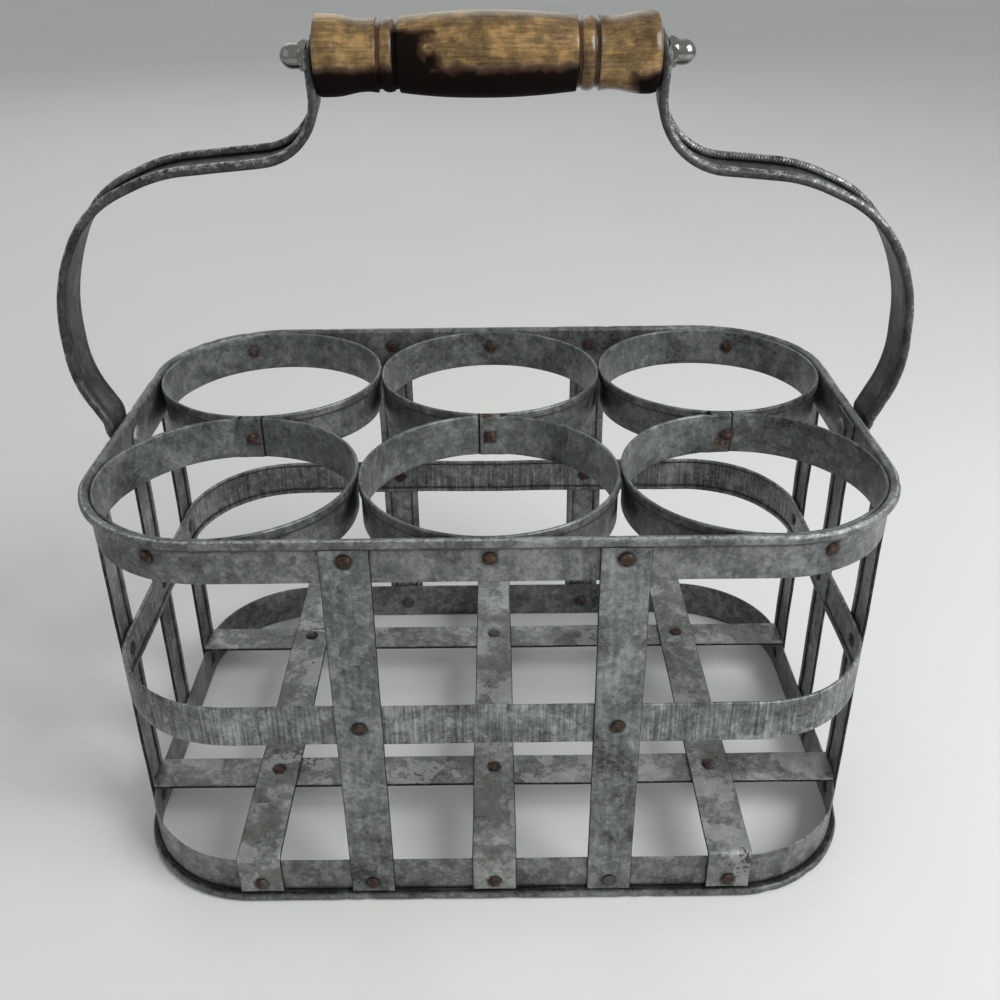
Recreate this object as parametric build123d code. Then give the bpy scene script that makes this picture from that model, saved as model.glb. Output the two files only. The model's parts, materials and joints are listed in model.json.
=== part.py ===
from build123d import *
from math import asin, atan2, cos, degrees, hypot, radians, sin, sqrt, tan
import os

# A carrier for six bottles, made of galvanised strips that are bent, hemmed and riveted, with a swinging
# handle of two curved straps and a turned wooden grip.
# Lengths are in millimetres. X points to the right, Y to the back and Z up.
# The origin is under the middle of the base, on the surface that the carrier stands on.

# Sheet and wire
sheet = 0.8
seat_gap = 0.05
seam_gap = 0.4
wire = 2.5
wire_gap = 0.05
curl_turn = 300

# Bottle rings
ring_bore = 101.6
ring_gap = 0.2
ring_height = 18.7
ring_hem = 3.8
ring_below_rim = 1.0
ring_lap = 9.0
ring_seam_left = 3.9
ring_seam_middle = -4.3
ring_seam_right = 1.5

# Bands round the body
rim_top = 182.9
rim_height = 19.5
middle_height = 19.2
middle_centre = 95.6
middle_hem_low = 2.6
middle_hem_high = 1.8
base_top = 21.3
base_wear = 0.15
lap_front = 14.0
lap_back = 9.0
seam_back = 3.0

# Upright straps
strap_width = 19.0
strap_hem = 4.0
strap_end_gap = 0.4
front_left_strap_share = -0.5
front_right_strap_share = 0.47
back_strap_share = 0.495

# Floor
floor_strap_share = 0.96
floor_tab_low = 5.0
tongue_gap = 0.2

# Rivets
head_diameter = 5.0
head_height = 1.2
tail_diameter = 4.6
tail_height = 0.9
shank_diameter = 2.6
shank_gap = 0.1
rivet_seat = 0.08
rim_rivet_drop = 9.4
ring_rivet_drop = 11.0
base_rivet_height = 9.5
corner_rivet_angle = 22

# Handle pivots
pivot_drop = 10.4
pivot_shank = 5.0
pivot_head = 8.0
pivot_head_height = 2.2
pivot_gap = 0.1
pivot_clearance = 0.08
spacer_diameter = 12.0
spacer_length = 3.4

# Handle straps, bent by hand and not quite alike: the inner face runs straight up from the start of the ridges
# to its first bend, and then follows a line of corners. Each corner is a share of the way out from the grip end
# to the pivot, a share of the way up from the pivot to the grip, and the share that its bend takes of the
# shorter run beside it. The grip sits a little right of the middle.
handle_height = 157.6
grip_shift = 1.3
arm_sheet = 1.0
arm_width = 21.0
ridge_diameter = 3.8
ridge_turn = 290
tab_below_pivot = 9.5
ridge_start = 7.0
ridge_end_gap = 1.6
left_foot_run = 4.978
right_foot_run = 2.141
foot_bend_share = 0.59
left_arm_shares = [
    (1.108, 0.200, 0.50),
    (1.106, 0.431, 0.48),
    (0.948, 0.648, 0.46),
    (0.637, 0.737, 0.30),
    (0.000, 0.772, 0.85),
]
right_arm_shares = [
    (1.105, 0.195, 0.50),
    (1.086, 0.432, 0.48),
    (0.917, 0.621, 0.46),
    (0.595, 0.711, 0.30),
    (0.000, 0.745, 0.85),
]

# Grip, its rod and the nuts
grip_length = 128.6
grip_radius = 15.5
grip_end_gap = 0.3
grip_bore_gap = 0.08
rod_diameter = 6.0
rod_gap = 0.05
washer_diameter = 13.6
washer_height = 2.0
washer_edge = 0.5
nut_width = 10.0
nut_hex_height = 3.2
nut_length = 10.4
nut_dome_diameter = 9.4
nut_engagement = 6.0
nut_bore_spare = 0.5

# Outline of half the grip, from its middle to its end: shares of the half length and of the grip's radius
barrel_end_share, barrel_edge_share = 0.516, 0.871
groove_share = 0.785
bead_start_share, bead_end_share, bead_top_share = 0.538, 0.619, 0.86
cove_start_share, cove_end_share = 0.644, 0.918
cove_edge_share, cove_depth_share = 0.865, 0.813
flange_share, flange_edge_share = 0.948, 0.985

# One overrun serves all cuts
overrun = 6.0

# Worked out from the sizes above
ring_inner = ring_bore / 2
ring_outer = ring_inner + 2 * sheet
ring_pitch = 2 * ring_outer + ring_gap
corner_radius = ring_pitch / 2
half_width = 3 * ring_pitch / 2
half_depth = ring_pitch
side_run = half_depth - corner_radius
end_run = half_width - corner_radius
bead_radius = wire / 2 + wire_gap + sheet
strap_seat = sheet + seat_gap
strap_web = strap_seat + sheet
strap_face = strap_web + sheet
fold_radius = corner_radius + strap_web
rim_low = rim_top - rim_height
ring_top = rim_top - ring_below_rim
ring_inset = corner_radius - ring_inner
strap_top = rim_top - 2 * bead_radius - strap_end_gap
strap_low = 2 * bead_radius - base_wear + strap_end_gap
cross_top = base_top + 2 * sheet
floor_hem = cross_top + seat_gap
rim_rivet_z = rim_top - rim_rivet_drop
ring_rivet_z = rim_top - ring_rivet_drop
pivot_z = rim_top - pivot_drop
grip_z = pivot_z + handle_height
arm_inset = strap_face + seat_gap + spacer_length + pivot_gap
arm_foot = half_width + arm_inset
arm_end = grip_length / 2 + grip_end_gap
tab_radius = (arm_width - ridge_diameter) / 2

quarter_turn = 90
ring_seams = {"left": ring_seam_left, "middle": ring_seam_middle, "right": ring_seam_right}
columns = {"left": -1, "middle": 0, "right": 1}
rows = {"front": -1, "back": 1}
sides = {"left": -1, "right": 1}


# Forming strips

def form(section, start, moves):
    """Form a strip from its section, which starts on a plane and goes on along its z direction.

    A move is a straight length and no angle, or the radius and the angle of a bend, measured at the
    section's origin. A bend goes towards the section's -x side, or with a negative radius towards +x.
    """
    at = start
    pieces = []
    for size, angle in moves:
        if angle == 0:
            pieces.append(extrude(at * section, amount=size, dir=at.z_dir))
            at = Plane(at.origin + at.z_dir * size, x_dir=at.x_dir, z_dir=at.z_dir)
            continue
        side = 1 if size > 0 else -1
        centre = at.origin - at.x_dir * size
        pieces.append(revolve(at * section, axis=Axis(centre, at.y_dir * -side), revolution_arc=angle))
        turned = radians(angle) * side
        x_dir = at.x_dir * cos(turned) + at.z_dir * sin(turned)
        z_dir = at.z_dir * cos(turned) - at.x_dir * sin(turned)
        at = Plane(centre + x_dir * size, x_dir=x_dir, z_dir=z_dir)
    return Part() + pieces


def round_the_body(section, gap):
    """Form a section round the whole body, clockwise from the seam in the right wall."""
    start = Plane(origin=(half_width, seam_back, 0), x_dir=(1, 0, 0), z_dir=(0, -1, 0))
    corner = (corner_radius, quarter_turn)
    moves = [
        (side_run + seam_back, 0), corner,
        (2 * end_run, 0), corner,
        (2 * side_run, 0), corner,
        (2 * end_run, 0), corner,
        (side_run - seam_back - gap, 0),
    ]
    return form(section, start, moves)


def beaded_section(height):
    """Section of a band with its far edge rolled outwards round a wire: x is outwards, y from the plain edge."""
    inner_radius = bead_radius - sheet
    centre = (bead_radius, height - bead_radius)
    end_angle = 180 - curl_turn
    outer = CenterArc(centre, bead_radius, 180, -curl_turn)
    inner = CenterArc(centre, inner_radius, end_angle, curl_turn)
    outline = [
        Line((0, 0), outer @ 0), outer, Line(outer @ 1, inner @ 0), inner,
        Line(inner @ 1, (sheet, 0)), Line((sheet, 0), (0, 0)),
    ]
    return make_face(outline)


def hemmed_section(width, hem):
    """Section of a strip with both edges folded under: x from the hems' inner face, y across the width."""
    folded = Pos(sheet, 0) * SlotOverall(width, 2 * sheet, rotation=90)
    return folded - Pos(sheet / 2, 0) * Rectangle(sheet, width - 2 * hem)


# Places for rivets: each is a plane whose z points outwards

def on_wall(wall, along, height):
    """A place on the bands' inner face, in the flat of a wall."""
    if wall in rows:
        return Plane(origin=(along, rows[wall] * half_depth, height), x_dir=(0, 0, 1), z_dir=(0, rows[wall], 0))
    return Plane(origin=(sides[wall] * half_width, along, height), x_dir=(0, 0, 1), z_dir=(sides[wall], 0, 0))


def on_corner(side, row, angle, height):
    """A place on the bands' inner face, on a corner's arc, at an angle from the front or back direction."""
    outwards = Vector(side * sin(radians(angle)), row * cos(radians(angle)), 0)
    centre = Vector(side * ring_pitch, row * ring_pitch / 2, height)
    return Plane(origin=centre + outwards * corner_radius, x_dir=(0, 0, 1), z_dir=outwards)


def cap_arc(radius, base, height):
    """Arc of a domed head, from its rim at the base to its top on the axis."""
    sphere = (radius ** 2 + height ** 2) / (2 * abs(height))
    direction = 1 if height > 0 else -1
    half_angle = asin(radius / sphere) / 2
    middle = (sphere * sin(half_angle), base + height - direction * (sphere - sphere * cos(half_angle)))
    return ThreePointArc((radius, base), middle, (0, base + height))


def rivet(place, inner, outer, shank=shank_diameter, head=head_diameter, head_rise=head_height,
          tail=tail_diameter, tail_rise=tail_height):
    """A rivet through a place, with its head on the outer face and its tail on the inner one."""
    head_base = outer + rivet_seat
    tail_base = inner - rivet_seat
    head_arc = cap_arc(head / 2, head_base, head_rise)
    tail_arc = cap_arc(tail / 2, tail_base, -tail_rise)
    outline = [
        tail_arc, Line((tail / 2, tail_base), (shank / 2, tail_base)),
        Line((shank / 2, tail_base), (shank / 2, head_base)), Line((shank / 2, head_base), (head / 2, head_base)),
        head_arc, Line((0, head_base + head_rise), (0, tail_base - tail_rise)),
    ]
    return place * revolve(Plane.XZ * make_face(outline), axis=Axis.Z)


def drill(solid, places, diameter=shank_diameter + 2 * shank_gap):
    """Cut a hole at each place."""
    for place in places:
        solid = solid - place * Cylinder(diameter / 2, 2 * overrun)
    return solid


# Where the straps stand and where each is riveted

strap_places = {
    "front_strap_left": ("front", front_left_strap_share * ring_pitch),
    "front_strap_right": ("front", front_right_strap_share * ring_pitch),
    "back_strap_left": ("back", -back_strap_share * ring_pitch),
    "back_strap_right": ("back", back_strap_share * ring_pitch),
}
for side in sides:
    for name, row in {"front": -1, "centre": 0, "back": 1}.items():
        strap_places[f"{side}_strap_{name}"] = (side, row * corner_radius)

wall_straps = list(strap_places.values())
pivot_walls = {side: on_wall(side, 0, pivot_z) for side in sides}
rim_only_places = [on_wall(row, 0, rim_rivet_z) for row in rows]
rim_only_places += [
    on_corner(side, row, corner_rivet_angle, rim_rivet_z) for side in sides.values() for row in rows.values()
]
end_strap_places = [on_wall(wall, along, rim_rivet_z) for wall, along in wall_straps if wall in rows]
side_strap_places = [
    on_wall(wall, along, rim_rivet_z) for wall, along in wall_straps if wall in sides and along != 0
]
middle_places = [(on_wall(wall, along, middle_centre), wall, along) for wall, along in wall_straps]
base_places = [(on_wall(wall, along, base_rivet_height), wall, along) for wall, along in wall_straps]
floor_columns = {name: column * floor_strap_share * ring_pitch for name, column in columns.items()}
tab_places = [on_wall(row, x, base_rivet_height) for row in rows for x in floor_columns.values()]
crossing_places = [
    Plane(origin=(x, row * corner_radius, base_top), z_dir=(0, 0, 1))
    for x in floor_columns.values() for row in rows.values()
]
ring_seam_places = [
    Plane(origin=(column * ring_pitch, 0, ring_rivet_z), x_dir=(0, 0, 1), z_dir=(0, -1, 0))
    for column in columns.values()
]


# Bands

def lap(low, high):
    """The inner layer where a band's two ends overlap, in the right wall behind its middle strap."""
    length = lap_front + lap_back
    box = Box(sheet, length, high - low, align=(Align.MAX, Align.MAX, Align.MIN))
    return Pos(half_width, lap_back, low) * box


def make_rim_band():
    section = beaded_section(rim_height)
    band = Pos(0, 0, rim_low) * round_the_body(section, seam_gap)
    band += lap(rim_low, rim_top - bead_radius)
    band = drill(band, rim_only_places + end_strap_places + side_strap_places)
    return drill(band, pivot_walls.values(), pivot_shank + 2 * shank_gap)


def make_middle_band():
    low = middle_centre - middle_height / 2
    high = middle_centre + middle_height / 2
    section = Pos(sheet / 2, middle_centre) * Rectangle(sheet, middle_height)
    section += Pos(-sheet / 2, low + middle_hem_low / 2) * Rectangle(sheet, middle_hem_low)
    section += Pos(-sheet / 2, high - middle_hem_high / 2) * Rectangle(sheet, middle_hem_high)
    band = round_the_body(section, seam_gap) + lap(low, high)
    return drill(band, [place for place, wall, along in middle_places])


def make_base_band():
    section = mirror(beaded_section(base_top + base_wear), about=Plane.XZ)
    band = Pos(0, 0, base_top) * round_the_body(section, seam_gap)
    band += lap(2 * bead_radius, base_top)
    band = split(band, bisect_by=Plane.XY, keep=Keep.TOP)
    return drill(band, [place for place, wall, along in base_places] + tab_places)


def make_wire(height):
    """The wire inside a bead, one closed hoop."""
    section = Pos(bead_radius, height) * Circle(wire / 2)
    return round_the_body(section, 0)


# Rings

def ring_layer(inner, outer, low, high, start, end):
    """Part of a thin upright ring between two angles."""
    profile = Plane.XZ * Pos((inner + outer) / 2, (low + high) / 2) * Rectangle(outer - inner, high - low)
    return Rot(0, 0, start) * revolve(profile, axis=Axis.Z, revolution_arc=end - start)


def make_ring(column, row, seam, turn_from_seam):
    """A bottle ring: its top edge is folded outwards, and its two ends overlap where it meets its neighbour."""
    low = ring_top - ring_height
    fold = ring_top - sheet
    arc = ThreePointArc((ring_inner, fold), (ring_inner + sheet, ring_top), (ring_outer, fold))
    outline = [
        Line((ring_inner, low), (ring_inner, fold)), arc,
        Line((ring_outer, fold), (ring_outer, ring_top - ring_hem)),
        Line((ring_outer, ring_top - ring_hem), (ring_inner + sheet, ring_top - ring_hem)),
        Line((ring_inner + sheet, ring_top - ring_hem), (ring_inner + sheet, low)),
        Line((ring_inner + sheet, low), (ring_inner, low)),
    ]
    facing = -row * quarter_turn
    seam_angle = facing + row * degrees(seam / ring_inner)
    lap_angle = degrees(ring_lap / ring_inner) * turn_from_seam
    slit_angle = degrees(seam_gap / ring_inner)
    slit_start = seam_angle + lap_angle - slit_angle * turn_from_seam
    ring = revolve(Plane.XZ * make_face(outline), axis=Axis.Z, revolution_arc=4 * quarter_turn - slit_angle)
    ring = Rot(0, 0, slit_start) * ring
    first, last = sorted((seam_angle, seam_angle + lap_angle + slit_angle * turn_from_seam))
    ring += ring_layer(ring_inner - sheet, ring_inner, low, ring_top, first, last)
    ring = Pos(column * ring_pitch, row * ring_pitch / 2, 0) * ring
    places = [place for place in ring_seam_places if place.origin.X == column * ring_pitch]
    if column == 0:
        places += [on_wall(name, 0, rim_rivet_z) for name, value in rows.items() if value == row]
    else:
        side = "left" if column < 0 else "right"
        places += [on_corner(column, row, corner_rivet_angle, rim_rivet_z)]
        places += [on_wall(side, row * corner_radius, rim_rivet_z)]
    return drill(ring, places)


# Upright straps

def wrapped(inner, outer, flat, arc):
    """Plan of a layer on the front right corner: a flat length on the wall, then an arc of a given length.

    Its origin is the corner's centre. Both distances are measured outwards from the bands' inner face,
    and the arc's length is measured where the straps are folded.
    """
    inner_radius = corner_radius + inner
    outer_radius = corner_radius + outer
    turn = degrees(arc / fold_radius)
    near = CenterArc((0, 0), inner_radius, -turn, turn)
    far = CenterArc((0, 0), outer_radius, -turn, turn)
    outline = [
        near, far, Line(near @ 0, far @ 0), Line(near @ 1, (inner_radius, flat)),
        Line((inner_radius, flat), (outer_radius, flat)), Line((outer_radius, flat), far @ 1),
    ]
    return make_face(outline)


def corner_strap_plan():
    """Plan of a hemmed strap that lies half on the side wall and half on the corner."""
    half = strap_width / 2
    fold_turn = (half - sheet) / fold_radius
    plan = wrapped(strap_seat, strap_face, half - sheet, half - sheet)
    plan += Pos(fold_radius, half - sheet) * Circle(sheet)
    plan += Pos(fold_radius * cos(fold_turn), -fold_radius * sin(fold_turn)) * Circle(sheet)
    return plan - wrapped(strap_seat, strap_web, half - strap_hem, half - strap_hem)


def put_on_corner(solid, side, row):
    """Move a solid made about the front right corner's centre to one of the four corners."""
    solid = Pos(ring_pitch, -ring_pitch / 2, 0) * solid
    if side < 0:
        solid = mirror(solid, about=Plane.YZ)
    if row > 0:
        solid = mirror(solid, about=Plane.XZ)
    return solid


def make_strap(wall, along):
    length = strap_top - strap_low
    if wall in sides and along != 0:
        strap = extrude(Pos(0, 0, strap_low) * corner_strap_plan(), amount=length)
        strap = put_on_corner(strap, sides[wall], along)
    else:
        place = on_wall(wall, along, strap_low)
        start = Plane(origin=place.origin + place.z_dir * strap_seat, x_dir=place.z_dir, z_dir=(0, 0, 1))
        strap = form(hemmed_section(strap_width, strap_hem), start, [(length, 0)])
    heights = [middle_centre, base_rivet_height]
    if wall in rows or along != 0:
        heights.append(rim_rivet_z)
    strap = drill(strap, [on_wall(wall, along, height) for height in heights])
    if wall in sides and along == 0:
        strap = drill(strap, [pivot_walls[wall]], pivot_shank + 2 * shank_gap)
    return strap


# Floor

def make_floor_strap(x):
    """A strap from front to back on top of the cross straps, with both ends bent down over the base band."""
    bend = 2 * sheet
    outside = half_depth + strap_seat
    start = Plane(origin=(x, -outside, floor_tab_low), x_dir=(0, -1, 0), z_dir=(0, 0, 1))
    tab = floor_hem - bend - floor_tab_low
    turn = (bend, quarter_turn)
    moves = [(tab, 0), turn, (2 * (outside - bend), 0), turn, (tab, 0)]
    strap = form(hemmed_section(strap_width, strap_hem), start, moves)
    places = [on_wall(row, x, base_rivet_height) for row in rows]
    places += [place for place in crossing_places if place.origin.X == x]
    return drill(strap, places)


def make_cross_strap(row):
    """A strap from left to right on the base band's edge, with a narrow tongue down behind each side strap."""
    y = row * corner_radius
    start = Plane(origin=(-half_width - sheet, y, base_top), x_dir=(0, 0, 1), z_dir=(1, 0, 0))
    strap = form(hemmed_section(strap_width, strap_hem), start, [(2 * (half_width + sheet), 0)])
    outline = RectangleRounded(2 * (half_width + sheet), 2 * (half_depth + sheet), corner_radius + sheet)
    strap = strap & extrude(outline, amount=base_top + overrun)
    half_tongue = strap_width / 2 - strap_hem - tongue_gap
    tongue_in = sheet + seat_gap / 2
    tongue_out = tongue_in + sheet
    bridge = extrude(Pos(0, 0, base_top + sheet) * wrapped(-overrun, tongue_out, half_tongue, half_tongue),
                     amount=sheet)
    tongue = extrude(Pos(0, 0, floor_tab_low) * wrapped(tongue_in, tongue_out, half_tongue, half_tongue),
                     amount=cross_top - floor_tab_low)
    for side in sides.values():
        strap += put_on_corner(bridge + tongue, side, row)
    places = [on_wall(side, y, base_rivet_height) for side in sides]
    places += [place for place in crossing_places if place.origin.Y == y]
    return drill(strap, places)


# Handle

def bends(points, shares):
    """The moves of a strip whose inner face follows points in a plane, with a bend at each inner point.

    A bend starts and ends at its share of the shorter run beside it.
    """
    lengths = [hypot(b[0] - a[0], b[1] - a[1]) for a, b in zip(points, points[1:])]
    headings = [degrees(atan2(b[1] - a[1], b[0] - a[0])) for a, b in zip(points, points[1:])]
    turns = [after - before for before, after in zip(headings, headings[1:])]
    trims = [share * min(pair) for share, pair in zip(shares, zip(lengths, lengths[1:]))]
    moves = []
    for length, turn, before, after in zip(lengths, turns, [0] + trims, trims):
        radius = after / tan(radians(turn) / 2)
        moves.append((length - before - after, 0))
        moves.append((radius, abs(turn)))
    moves.append((lengths[-1] - trims[-1], 0))
    return moves


def ridged_section():
    """Section of a handle strap: both edges are rolled up into ridges on the outer side."""
    ridge_radius = ridge_diameter / 2
    hollow_radius = ridge_radius - arm_sheet
    section = Pos(arm_sheet / 2, 0) * Rectangle(arm_sheet, 2 * tab_radius)
    outer = CenterArc((ridge_radius, tab_radius), ridge_radius, 180, -ridge_turn)
    inner = CenterArc((ridge_radius, tab_radius), hollow_radius, 180 - ridge_turn, ridge_turn)
    ridge = make_face([outer, Line(outer @ 1, inner @ 0), inner, Line(inner @ 1, outer @ 0)])
    return section + ridge + mirror(ridge, about=Plane.XZ)


def tab(x, low, high, centre_z):
    """A flat end of a handle strap, rounded about a hole."""
    outline = Pos(0, centre_z) * Circle(tab_radius)
    outline += Pos(0, (low + high) / 2) * Rectangle(2 * tab_radius, high - low)
    return extrude(Plane(origin=(x, 0, 0), x_dir=(0, 1, 0), z_dir=(1, 0, 0)) * outline, amount=arm_sheet)


def make_arm(end, foot_run, corner_shares):
    """A handle strap, made on the right: flat at the pivot, out, up and in under the grip, then up to the rod."""
    ridge_low = pivot_z + ridge_start
    ridge_high = grip_z - washer_diameter / 2 - ridge_end_gap
    reach = arm_foot - end
    corners = [(end + out * reach, pivot_z + up * handle_height) for out, up, bend in corner_shares]
    bend_shares = [foot_bend_share] + [bend for out, up, bend in corner_shares]
    points = [(arm_foot, ridge_low), (arm_foot, ridge_low + foot_run)] + corners + [(end, ridge_high)]
    start = Plane(origin=(arm_foot, 0, ridge_low), x_dir=(1, 0, 0), z_dir=(0, 0, 1))
    arm = form(ridged_section(), start, bends(points, bend_shares))
    foot_centre = pivot_z + tab_radius - tab_below_pivot
    arm += tab(arm_foot, foot_centre, ridge_low, foot_centre)
    arm += tab(end, ridge_high, grip_z, grip_z)
    arm = drill(arm, [Plane(origin=(arm_foot, 0, pivot_z), z_dir=(1, 0, 0))], pivot_shank + 2 * pivot_clearance)
    return drill(arm, [Plane(origin=(end, 0, grip_z), z_dir=(1, 0, 0))], rod_diameter + 2 * rod_gap)


def make_pivot(side):
    """The larger rivet that the handle turns on, through the rim band and the side strap."""
    inner = -sheet if side == "right" else 0
    outer = arm_inset + arm_sheet + pivot_gap - rivet_seat
    return rivet(pivot_walls[side], inner, outer, shank=pivot_shank, head=pivot_head,
                 head_rise=pivot_head_height, tail=pivot_head, tail_rise=pivot_head_height)


def make_spacer(side):
    ring = Circle(spacer_diameter / 2) - Circle(pivot_shank / 2 + shank_gap)
    seat = Pos(0, 0, strap_face + seat_gap)
    return pivot_walls[side] * extrude(seat * ring, amount=spacer_length)


# Grip

def about_grip_axis(face):
    """Turn an outline round the grip's axis: x lies along the axis, y is the distance from it."""
    return Pos(0, 0, grip_z) * revolve(Plane.XZ * face, axis=Axis.X)


def make_grip():
    half = grip_length / 2
    bore = rod_diameter / 2 + grip_bore_gap
    groove = groove_share * grip_radius
    barrel_end, barrel_edge = barrel_end_share * half, barrel_edge_share * grip_radius
    bead_start, bead_end = bead_start_share * half, bead_end_share * half
    cove_start, cove_end = cove_start_share * half, cove_end_share * half
    cove_edge = cove_edge_share * grip_radius
    flange = flange_share * grip_radius
    flange_edge = flange_edge_share * half
    barrel_sag = grip_radius - barrel_edge
    barrel_sphere = (barrel_end ** 2 + barrel_sag ** 2) / (2 * barrel_sag)
    quarter = barrel_end / 2
    quarter_radius = grip_radius - barrel_sphere + sqrt(barrel_sphere ** 2 - quarter ** 2)
    barrel = ThreePointArc((0, grip_radius), (quarter, quarter_radius), (barrel_end, barrel_edge))
    bead_middle = ((bead_start + bead_end) / 2, bead_top_share * grip_radius)
    bead = ThreePointArc((bead_start, groove), bead_middle, (bead_end, groove))
    cove_middle = ((cove_start + cove_end) / 2, cove_depth_share * grip_radius)
    cove = ThreePointArc((cove_start, cove_edge), cove_middle, (cove_end, cove_edge))
    edge_drop = half - flange_edge
    outline = [
        Line((0, bore), (0, grip_radius)), barrel,
        Line((barrel_end, barrel_edge), (barrel_end, groove)), Line((barrel_end, groove), (bead_start, groove)),
        bead, Line((bead_end, groove), (cove_start, groove)), Line((cove_start, groove), (cove_start, cove_edge)),
        cove, Line((cove_end, cove_edge), (cove_end, flange)), Line((cove_end, flange), (flange_edge, flange)),
        Line((flange_edge, flange), (half, flange - edge_drop)), Line((half, flange - edge_drop), (half, bore)),
        Line((half, bore), (0, bore)),
    ]
    side = about_grip_axis(make_face(outline))
    return side + mirror(side, about=Plane.YZ)


def make_rod():
    half = arm_end + arm_sheet + 2 * seat_gap + washer_height + nut_engagement
    rod = Plane(origin=(0, 0, grip_z), z_dir=(1, 0, 0)) * Cylinder(rod_diameter / 2, 2 * half)
    return rod


def make_washer():
    """The domed washer outside the right strap."""
    face = arm_end + arm_sheet + seat_gap
    hole = rod_diameter / 2 + rod_gap
    edge = washer_diameter / 2
    rise = cap_arc(edge, washer_edge, washer_height)
    outline = Polyline((hole, 0), (edge, 0), (edge, washer_edge))
    dome = make_face(outline.edges() + [rise, Line((0, washer_edge + washer_height), (0, 0)), Line((0, 0), (hole, 0))])
    dome = dome & Pos((hole + edge) / 2, washer_height / 2) * Rectangle(edge - hole, washer_height)
    upright = revolve(Plane.XZ * dome, axis=Axis.Z)
    return Plane(origin=(face, 0, grip_z), z_dir=(1, 0, 0)) * upright


def make_nut():
    """The acorn nut outside the right strap."""
    face = arm_end + arm_sheet + 2 * seat_gap + washer_height
    radius = nut_dome_diameter / 2
    shoulder = nut_length - radius
    base = extrude(RegularPolygon(nut_width / 2, 6, major_radius=False), amount=nut_hex_height)
    corner_cone = Cone(nut_width / 2 + nut_hex_height, nut_width / 2, nut_hex_height,
                       align=(Align.CENTER, Align.CENTER, Align.MIN))
    nut = base & corner_cone
    nut += Cylinder(radius, shoulder, align=(Align.CENTER, Align.CENTER, Align.MIN))
    nut += Pos(0, 0, shoulder) * Sphere(radius)
    depth = nut_engagement + nut_bore_spare
    nut -= Cylinder(rod_diameter / 2 + rod_gap, depth, align=(Align.CENTER, Align.CENTER, Align.MIN))
    return Plane(origin=(face, 0, grip_z), x_dir=(0, 1, 0), z_dir=(1, 0, 0)) * nut


# All nodes

nodes = {
    "rim_band": make_rim_band(),
    "rim_wire": make_wire(rim_top - bead_radius),
    "middle_band": make_middle_band(),
    "base_band": make_base_band(),
    "base_wire": make_wire(bead_radius - base_wear),
}
for row_name, row in rows.items():
    for column_name, column in columns.items():
        turn = 1 if ring_seams[column_name] > 0 else -1
        nodes[f"ring_{row_name}_{column_name}"] = make_ring(
            column, row, ring_seams[column_name], turn if row < 0 else -turn)
for name, (wall, along) in strap_places.items():
    nodes[name] = make_strap(wall, along)
for name, x in floor_columns.items():
    nodes[f"floor_strap_{name}"] = make_floor_strap(x)
for name, row in rows.items():
    nodes[f"cross_strap_{name}"] = make_cross_strap(row)

lap_seat = {True: -sheet, False: 0}
nodes["ring_to_rim_rivets"] = [rivet(place, -ring_inset, sheet) for place in rim_only_places]
nodes["strap_to_rim_rivets"] = [rivet(place, 0, strap_face) for place in end_strap_places]
nodes["strap_to_rim_rivets"] += [rivet(place, -ring_inset, strap_face) for place in side_strap_places]
nodes["ring_seam_rivets"] = [
    rivet(place, -ring_inset - sheet, ring_inset + sheet) for place in ring_seam_places
]
nodes["middle_band_rivets"] = [
    rivet(place, lap_seat[wall == "right" and along == 0], strap_face) for place, wall, along in middle_places
]
nodes["base_band_rivets"] = [
    rivet(place, lap_seat[wall == "right" and along == 0], strap_face) for place, wall, along in base_places
]
nodes["floor_end_rivets"] = [rivet(place, 0, strap_face) for place in tab_places]
nodes["floor_crossing_rivets"] = [
    rivet(place, sheet, floor_hem - base_top + 2 * sheet) for place in crossing_places
]

arm_shares = {"left": left_arm_shares, "right": right_arm_shares}
foot_runs = {"left": left_foot_run, "right": right_foot_run}
washer = make_washer()
nut = make_nut()
for side, sign in sides.items():
    nodes[f"pivot_rivet_{side}"] = make_pivot(side)
    nodes[f"pivot_spacer_{side}"] = make_spacer(side)
    arm = make_arm(arm_end + sign * grip_shift, foot_runs[side], arm_shares[side])
    for name, solid in {"handle_strap": arm, "grip_washer": washer, "acorn_nut": nut}.items():
        made = solid if side == "right" else mirror(solid, about=Plane.YZ)
        nodes[f"{name}_{side}"] = made if name == "handle_strap" else Pos(grip_shift, 0, 0) * made
nodes["handle_rod"] = Pos(grip_shift, 0, 0) * make_rod()
nodes["wood_grip"] = Pos(grip_shift, 0, 0) * make_grip()

os.makedirs("parts", exist_ok=True)
for name, shape in nodes.items():
    if isinstance(shape, list):
        shape = Compound(children=[solid for piece in shape for solid in piece.solids()])
    export_step(shape, f"parts/{name}.step")
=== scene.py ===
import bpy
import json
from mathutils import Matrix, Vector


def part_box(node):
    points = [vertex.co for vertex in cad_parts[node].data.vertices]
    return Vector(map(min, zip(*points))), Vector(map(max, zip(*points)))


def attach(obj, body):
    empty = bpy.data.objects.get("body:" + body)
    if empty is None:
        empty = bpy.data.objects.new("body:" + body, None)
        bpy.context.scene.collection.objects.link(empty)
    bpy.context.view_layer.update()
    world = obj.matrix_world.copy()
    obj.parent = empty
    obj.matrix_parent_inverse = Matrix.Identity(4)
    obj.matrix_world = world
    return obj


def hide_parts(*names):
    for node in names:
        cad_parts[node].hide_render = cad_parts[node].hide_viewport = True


bl_info = {
    "name": "Bottle carrier of galvanised straps",
    "version": (1, 0, 0),
    "blender": (4, 5, 0),
    "location": "3D View > Sidebar > Carrier",
    "description": "Builds the finished surfaces of a riveted bottle carrier round its packed frame",
    "category": "Object",
}

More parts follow.
